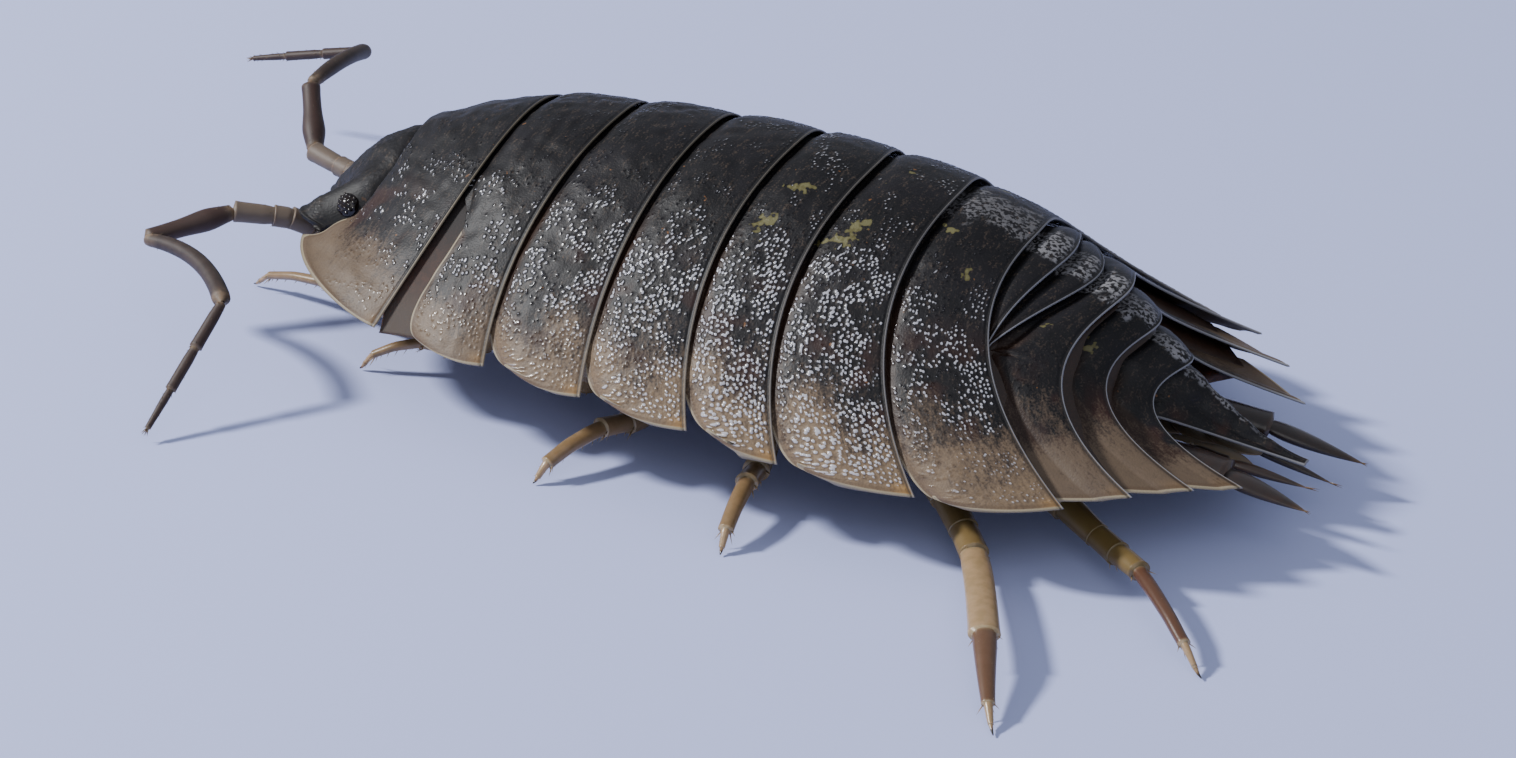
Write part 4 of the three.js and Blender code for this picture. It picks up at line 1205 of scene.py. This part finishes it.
class WoodlouseLegs(bpy.types.Operator):
    """Build the fourteen legs in their articles, with their spines, and their claws"""

    bl_idname = "mesh.woodlouse_legs"
    bl_label = "Legs and claws"

    def execute(self, context):
        for name, side in SIDES.items():
            for i, leg in enumerate(LEGS[name]):
                parts, seed = [], 300 + 20 * i + (side > 0)
                for k, (start, end, first, last, flat, dark, olive) in enumerate(LEG_SHAPES[i]):
                    run = np.linspace(0, 1, 30)
                    run = run - 0.6 * np.sin(2 * math.pi * run) / (2 * math.pi)
                    path = leg_course(side, leg, mix(start, end, run))
                    path = mix(path[0] + (path[-1] - path[0]) * run[:, None], path, 0.35)
                    radii = mix(first, last, run)
                    # The olive tint on the upper articles is painted shade under the body.
                    parts.append(article(path, radii, 20, flat, dark, olive, 0.88))
                    if 1 < k < 5:
                        where = np.linspace(0.2, 0.86, 4 + 3 * (k == 4))
                        parts.append(spines(path, radii * 0.95, where, math.pi * 0.92, 0.1, 0.0085, 0.9, seed + k))
                        parts.append(spines(path, radii * 0.95, np.array([0.93, 0.94, 0.95, 0.94]),
                                            np.array([0.55, 0.8, 1.05, 1.3]) * math.pi, 0.15, 0.012, 1.3,
                                            seed + k + 5, 0.1))
                    hairs = np.linspace(0.12, 0.95, 14)
                    parts.append(spines(path, radii * 0.97, hairs, np.linspace(0, 9 * math.pi, 14), 0.04, 0.004, 1.0,
                                        seed + k + 9, 0.8))
                limb_piece(f"leg_{name}_{i + 1}_articles", parts, pale_limb(), [f"leg_{name}_{i + 1}"])
                run = np.linspace(0, 1, 16)
                path = leg_course(side, leg, mix(*CLAW, run))
                points, faces = loft(path, mix(0.045, 0.01, run ** 0.9), 12, 0.9)
                along = np.concatenate([np.repeat(run, 12), [0, 1]])
                limb_piece(f"claw_{name}_{i + 1}", [(points, faces, 0.5, 0.2, smooth(0.35, 0.75, along))], claw_horn())
        return {"FINISHED"}


class WoodlouseFeelers(bpy.types.Operator):
    """Build both feelers: three base articles, two long ones and the three of the lash"""

    bl_idname = "mesh.woodlouse_feelers"
    bl_label = "Feelers"

    def execute(self, context):
        for name, side in SIDES.items():
            at = {key: np.array([x, side * y, z]) for key, (x, y, z) in FEELERS[name].items()}
            start = at["root"] + (at["root"] - at["second"]) * 0.6
            middle = mix(at["second"], at["third"], 0.3)
            tones = dict(base=0.0, article_4=0.75, article_5=0.2, flagellum=0.6)
            courses = {
                "base": [(start, at["root"], 0.2, 0.21), (at["root"], at["second"], 0.19, 0.19),
                         (mix(at["root"], at["second"], 0.85), middle, 0.18, 0.18),
                         (mix(at["second"], at["third"], 0.2), at["third"], 0.16, 0.175)],
                "article_4": [(mix(at["third"], at["second"], 0.04), at["knee"], 0.145, 0.15)],
                "article_5": [(at["knee"], at["elbow"], 0.13, 0.14)],
                "flagellum": [(at["elbow"], mix(at["elbow"], at["tip"], 0.36), 0.09, 0.1),
                              (mix(at["elbow"], at["tip"], 0.34), mix(at["elbow"], at["tip"], 0.68), 0.085, 0.085),
                              (mix(at["elbow"], at["tip"], 0.66), mix(at["elbow"], at["tip"], 0.97), 0.07, 0.045)],
            }
            for k, (part, lengths) in enumerate(courses.items()):
                parts = []
                for j, (one, two, thin, wide) in enumerate(lengths):
                    if part == "article_5":
                        path = curve_through(one, at["bend"], two, 40)
                    else:
                        path = np.linspace(one, two, 26)
                    radii = np.linspace(thin, wide, len(path))
                    if part == "article_4":
                        radii = radii * (1 + 0.28 * np.exp(-((np.linspace(0, 1, len(path)) - 0.3) / 0.22) ** 2))
                    parts.append(article(path, radii, 18, 0.92, tones[part], 0.75 if part == "base" else 0.0, 0.85))
                    count = 60 if part in ("article_4", "article_5") else 24
                    where = np.linspace(0.06, 0.96, count)
                    turn = np.arange(count) * 2.4
                    parts.append(spines(path, radii, where, turn, 0.05, 0.006, 1.2, 500 + 10 * k + j, 0.4))
                if part == "flagellum":
                    end = np.linspace(mix(at["elbow"], at["tip"], 0.95), at["tip"], 6)
                    parts.append((*bristles(np.repeat(end[:1], 7, 0), np.array([
                        end[-1] - end[0] + 0.05 * np.array([math.cos(a), math.sin(a), 0.4 * math.sin(2 * a)])
                        for a in np.arange(7) * 0.9]), 0.16, 0.014), 0.5, 0.3, 0.5))
                limb_piece(f"feeler_{name}_{part}", parts, feeler_cuticle(), [f"antenna_{name}_{part}"])
        return {"FINISHED"}


class WoodlouseTail(bpy.types.Operator):
    """Build the tail shield and the forked tail feet"""

    bl_idname = "mesh.woodlouse_tail"
    bl_label = "Tail shield and tail feet"

    def execute(self, context):
        scene = context.scene
        last = edges()[-1][2]

        def surface(u, s):
            side = np.abs(s)
            front = last(side * 0.62)
            narrow = (1 - u) ** 1.6
            x = mix(front[..., 0] - 0.15, 16.0, u)
            y = mix(0.1 * side, front[..., 1], narrow)
            z = mix(front[..., 2] - 0.1, 1.07, 1 - (1 - u) ** 1.45) + 0.1 * (1 - side * side) * (1 - u)
            z = z - 0.07 * np.exp(-((side - 0.5) / 0.22) ** 2) * np.sin(math.pi * np.clip(u, 0, 1))
            return xyz(x, y * np.sign(s), z)

        seen = {}

        def relief(facts):
            size = 0.06
            cover = granules(facts["from_front"] / size, facts["reach"] / size, 91)
            fade = smooth(0.06, 0.2, facts["to_rim"])
            seen["grain"] = cover * fade * 0.3
            shown = facts["from_front"] - 0.15
            return (cover * fade * 0.004 + waves(facts["base"], 0.4, 92) * 0.008 * fade
                    - 0.05 * np.exp(-np.maximum(shown, 0) / 0.15))

        points, faces, facts, spread = sheet_shape(
            surface, 100, 160, lambda facts: mix(0.05, 0.14, smooth(0, 0.3, facts["to_rim"])), relief)
        # Painted highlight: the dull pale stripe along the telson's keel.
        ridge = 0.5 * (1 - smooth(0.08, 0.16, facts["out"] + 0.04 * waves(facts["base"], 0.25, 93)))
        values = plate_values(facts, spread, 0.7, seen["grain"], 0.0, AWAY,
                              chalk=ridge * (1 - smooth(0.3, 0.9, facts["u"])),
                              hind=np.minimum(facts["to_side"], facts["to_hind"]))
        piece("tail_shield", points, faces, chitin_shell(scene.woodlouse_colours), ["telson"], values)

        for name, side in SIDES.items():
            lift, reach = {"left": (0.12, 0.94), "right": (-0.22, 1.0)}[name]

            def fork(points, first, length):
                run = [(x - first) / length for x, _, _ in points]
                return [np.array([first + (x - first) * reach, side * y, z + lift * r * r])
                        for (x, y, z), r in zip(points, run)]

            one, two = fork([(14.0, 0.82, 1.14), (15.17, 0.95, 1.04)], 14.05, 2.45)
            four, five = fork([(15.08, 0.95, 1.04), (16.54, 1.25, 0.82)], 14.05, 2.45)
            stem = article(np.linspace(one, two, 30), np.linspace(0.3, 0.3, 30), 24, 0.6, 0.5, 0.0, 0.9)
            blade = blade_shape(four, five, 0.22, 0.1)
            brush = tuft(four, five, 4, 0.25, 0.12, 0.01)
            limb_piece(f"tail_foot_{name}", [stem, blade, (*brush, 0.5, 0.0, 1.0)], tail_cuticle(),
                       [f"uropod_{name}"])
            six, seven, eight = fork([(14.3, 0.3, 0.98), (15, 0.38, 0.94), (16.3, 0.47, 0.78)], 14.3, 2.0)
            blade = blade_shape(seven, eight, 0.11, 0.07)
            stem = article(np.linspace(six, seven, 12), np.linspace(0.12, 0.1, 12), 16, 0.8, 0.4)
            brush = tuft(seven, eight, 3, 0.2, 0.22, 0.012)
            limb_piece(f"tail_prong_{name}", [stem, blade, (*brush, 0.5, 0.0, 1.0)], tail_cuticle(),
                       [f"endopod_{name}"])
        return {"FINISHED"}


# The photo's camera, fitted to the body. Angles are in radians, azimuth from -Y towards the tail. Lengths are in mm,
# and focal is the focal length over the picture's width.
VIEW = dict(azimuth=0.380298, elevation=0.470759, roll=0.065840, distance=63.906, focal=3.0416,
            target=(9.4320, -5.2396, 3.0613))
SENSOR = 36
FLOOR_HALF = 0.6
LIT_PLACE = Vector((0.001, -0.001, 0.002))
# Lamps: name, direction from the model, distance and width in metres, and power in watts
LAMPS = (
    ("key", (-0.73, -0.29, 0.61), 0.16, 0.02, 0.36),
    ("fill", (0.3, -0.6, 0.7), 0.2, 0.16, 0.06),
)


def matt_paper():
    """Matt pale paper of the floor: no gloss, so it takes only soft shadows."""
    material, _, shader = new_finish("matt_paper")
    shader.inputs["Base Color"].default_value = linear("#bfc9fa")
    shader.inputs["Roughness"].default_value = 0.9
    return material


class WoodlouseStage(bpy.types.Operator):
    """Set the pale floor, the soft light and the camera"""

    bl_idname = "scene.woodlouse_stage"
    bl_label = "Floor, light and camera"

    def execute(self, context):
        scene = context.scene
        side = FLOOR_HALF
        mesh = bpy.data.meshes.new("floor")
        mesh.from_pydata([(-side, -side, 0), (side, -side, 0), (side, side, 0), (-side, side, 0)], [], [(0, 1, 2, 3)])
        mesh.materials.append(matt_paper())
        floor = bpy.data.objects.new("floor", mesh)
        scene.collection.objects.link(floor)

        world = bpy.data.worlds.new("soft_room")
        world.use_nodes = True
        back = world.node_tree.nodes["Background"]
        back.inputs["Color"].default_value = linear("#d3d8e6")
        back.inputs["Strength"].default_value = 0.55
        scene.world = world

        for name, way, far, size, power in LAMPS:
            lamp = bpy.data.lights.new(name, "AREA")
            lamp.shape = "DISK"
            lamp.size = size
            lamp.energy = power
            light = bpy.data.objects.new(name, lamp)
            way = Vector(way).normalized()
            turn = way.to_track_quat("Z", "Y").to_matrix().to_4x4()
            light.matrix_world = Matrix.Translation(LIT_PLACE + way * far) @ turn
            scene.collection.objects.link(light)

        azimuth, elevation, roll = VIEW["azimuth"], VIEW["elevation"], VIEW["roll"]
        back_way = np.array([math.sin(azimuth) * math.cos(elevation), -math.cos(azimuth) * math.cos(elevation),
                             math.sin(elevation)])
        right = unit(np.cross([0, 0, 1.0], back_way))
        up = np.cross(back_way, right)
        turned = math.cos(roll) * right + math.sin(roll) * up
        upright = -math.sin(roll) * right + math.cos(roll) * up
        lens = bpy.data.cameras.new("camera")
        lens.sensor_width = SENSOR
        lens.lens = SENSOR * VIEW["focal"]
        lens.clip_start = 0.001
        lens.clip_end = 10
        camera = bpy.data.objects.new("camera", lens)
        place = put(np.array(VIEW["target"]) + back_way * VIEW["distance"])[0]
        columns = np.column_stack([turned, upright, back_way, place])
        camera.matrix_world = Matrix([*columns.tolist(), [0, 0, 0, 1]])
        scene.collection.objects.link(camera)
        scene.camera = camera
        return {"FINISHED"}


STEPS = (WoodlouseTrunkPlates, WoodlouseTailPlates, WoodlouseHead, WoodlouseEyes, WoodlouseBody, WoodlouseLegs,
         WoodlouseFeelers, WoodlouseTail, WoodlouseStage)


class WoodlousePanel(bpy.types.Panel):
    """Lists the pieces and their settings"""

    bl_idname = "VIEW3D_PT_woodlouse"
    bl_label = "Woodlouse"
    bl_space_type = "VIEW_3D"
    bl_region_type = "UI"
    bl_category = "Woodlouse"

    def draw(self, context):
        layout = self.layout
        for step in STEPS:
            layout.operator(step.bl_idname)
        for group in (context.scene.woodlouse_sizes, context.scene.woodlouse_colours):
            box = layout.box()
            for key in group.__annotations__:
                box.prop(group, key)


CLASSES = (WoodlouseSizes, WoodlouseColours, *STEPS, WoodlousePanel)


def register():
    for cls in CLASSES:
        bpy.utils.register_class(cls)
    bpy.types.Scene.woodlouse_sizes = PointerProperty(type=WoodlouseSizes)
    bpy.types.Scene.woodlouse_colours = PointerProperty(type=WoodlouseColours)


def unregister():
    del bpy.types.Scene.woodlouse_colours
    del bpy.types.Scene.woodlouse_sizes
    for cls in reversed(CLASSES):
        bpy.utils.unregister_class(cls)


def main():
    """Registers the add-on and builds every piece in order."""
    register()
    for step in STEPS:
        group, name = step.bl_idname.split(".")
        getattr(getattr(bpy.ops, group), name)()


if __name__ == "__main__":
    main()
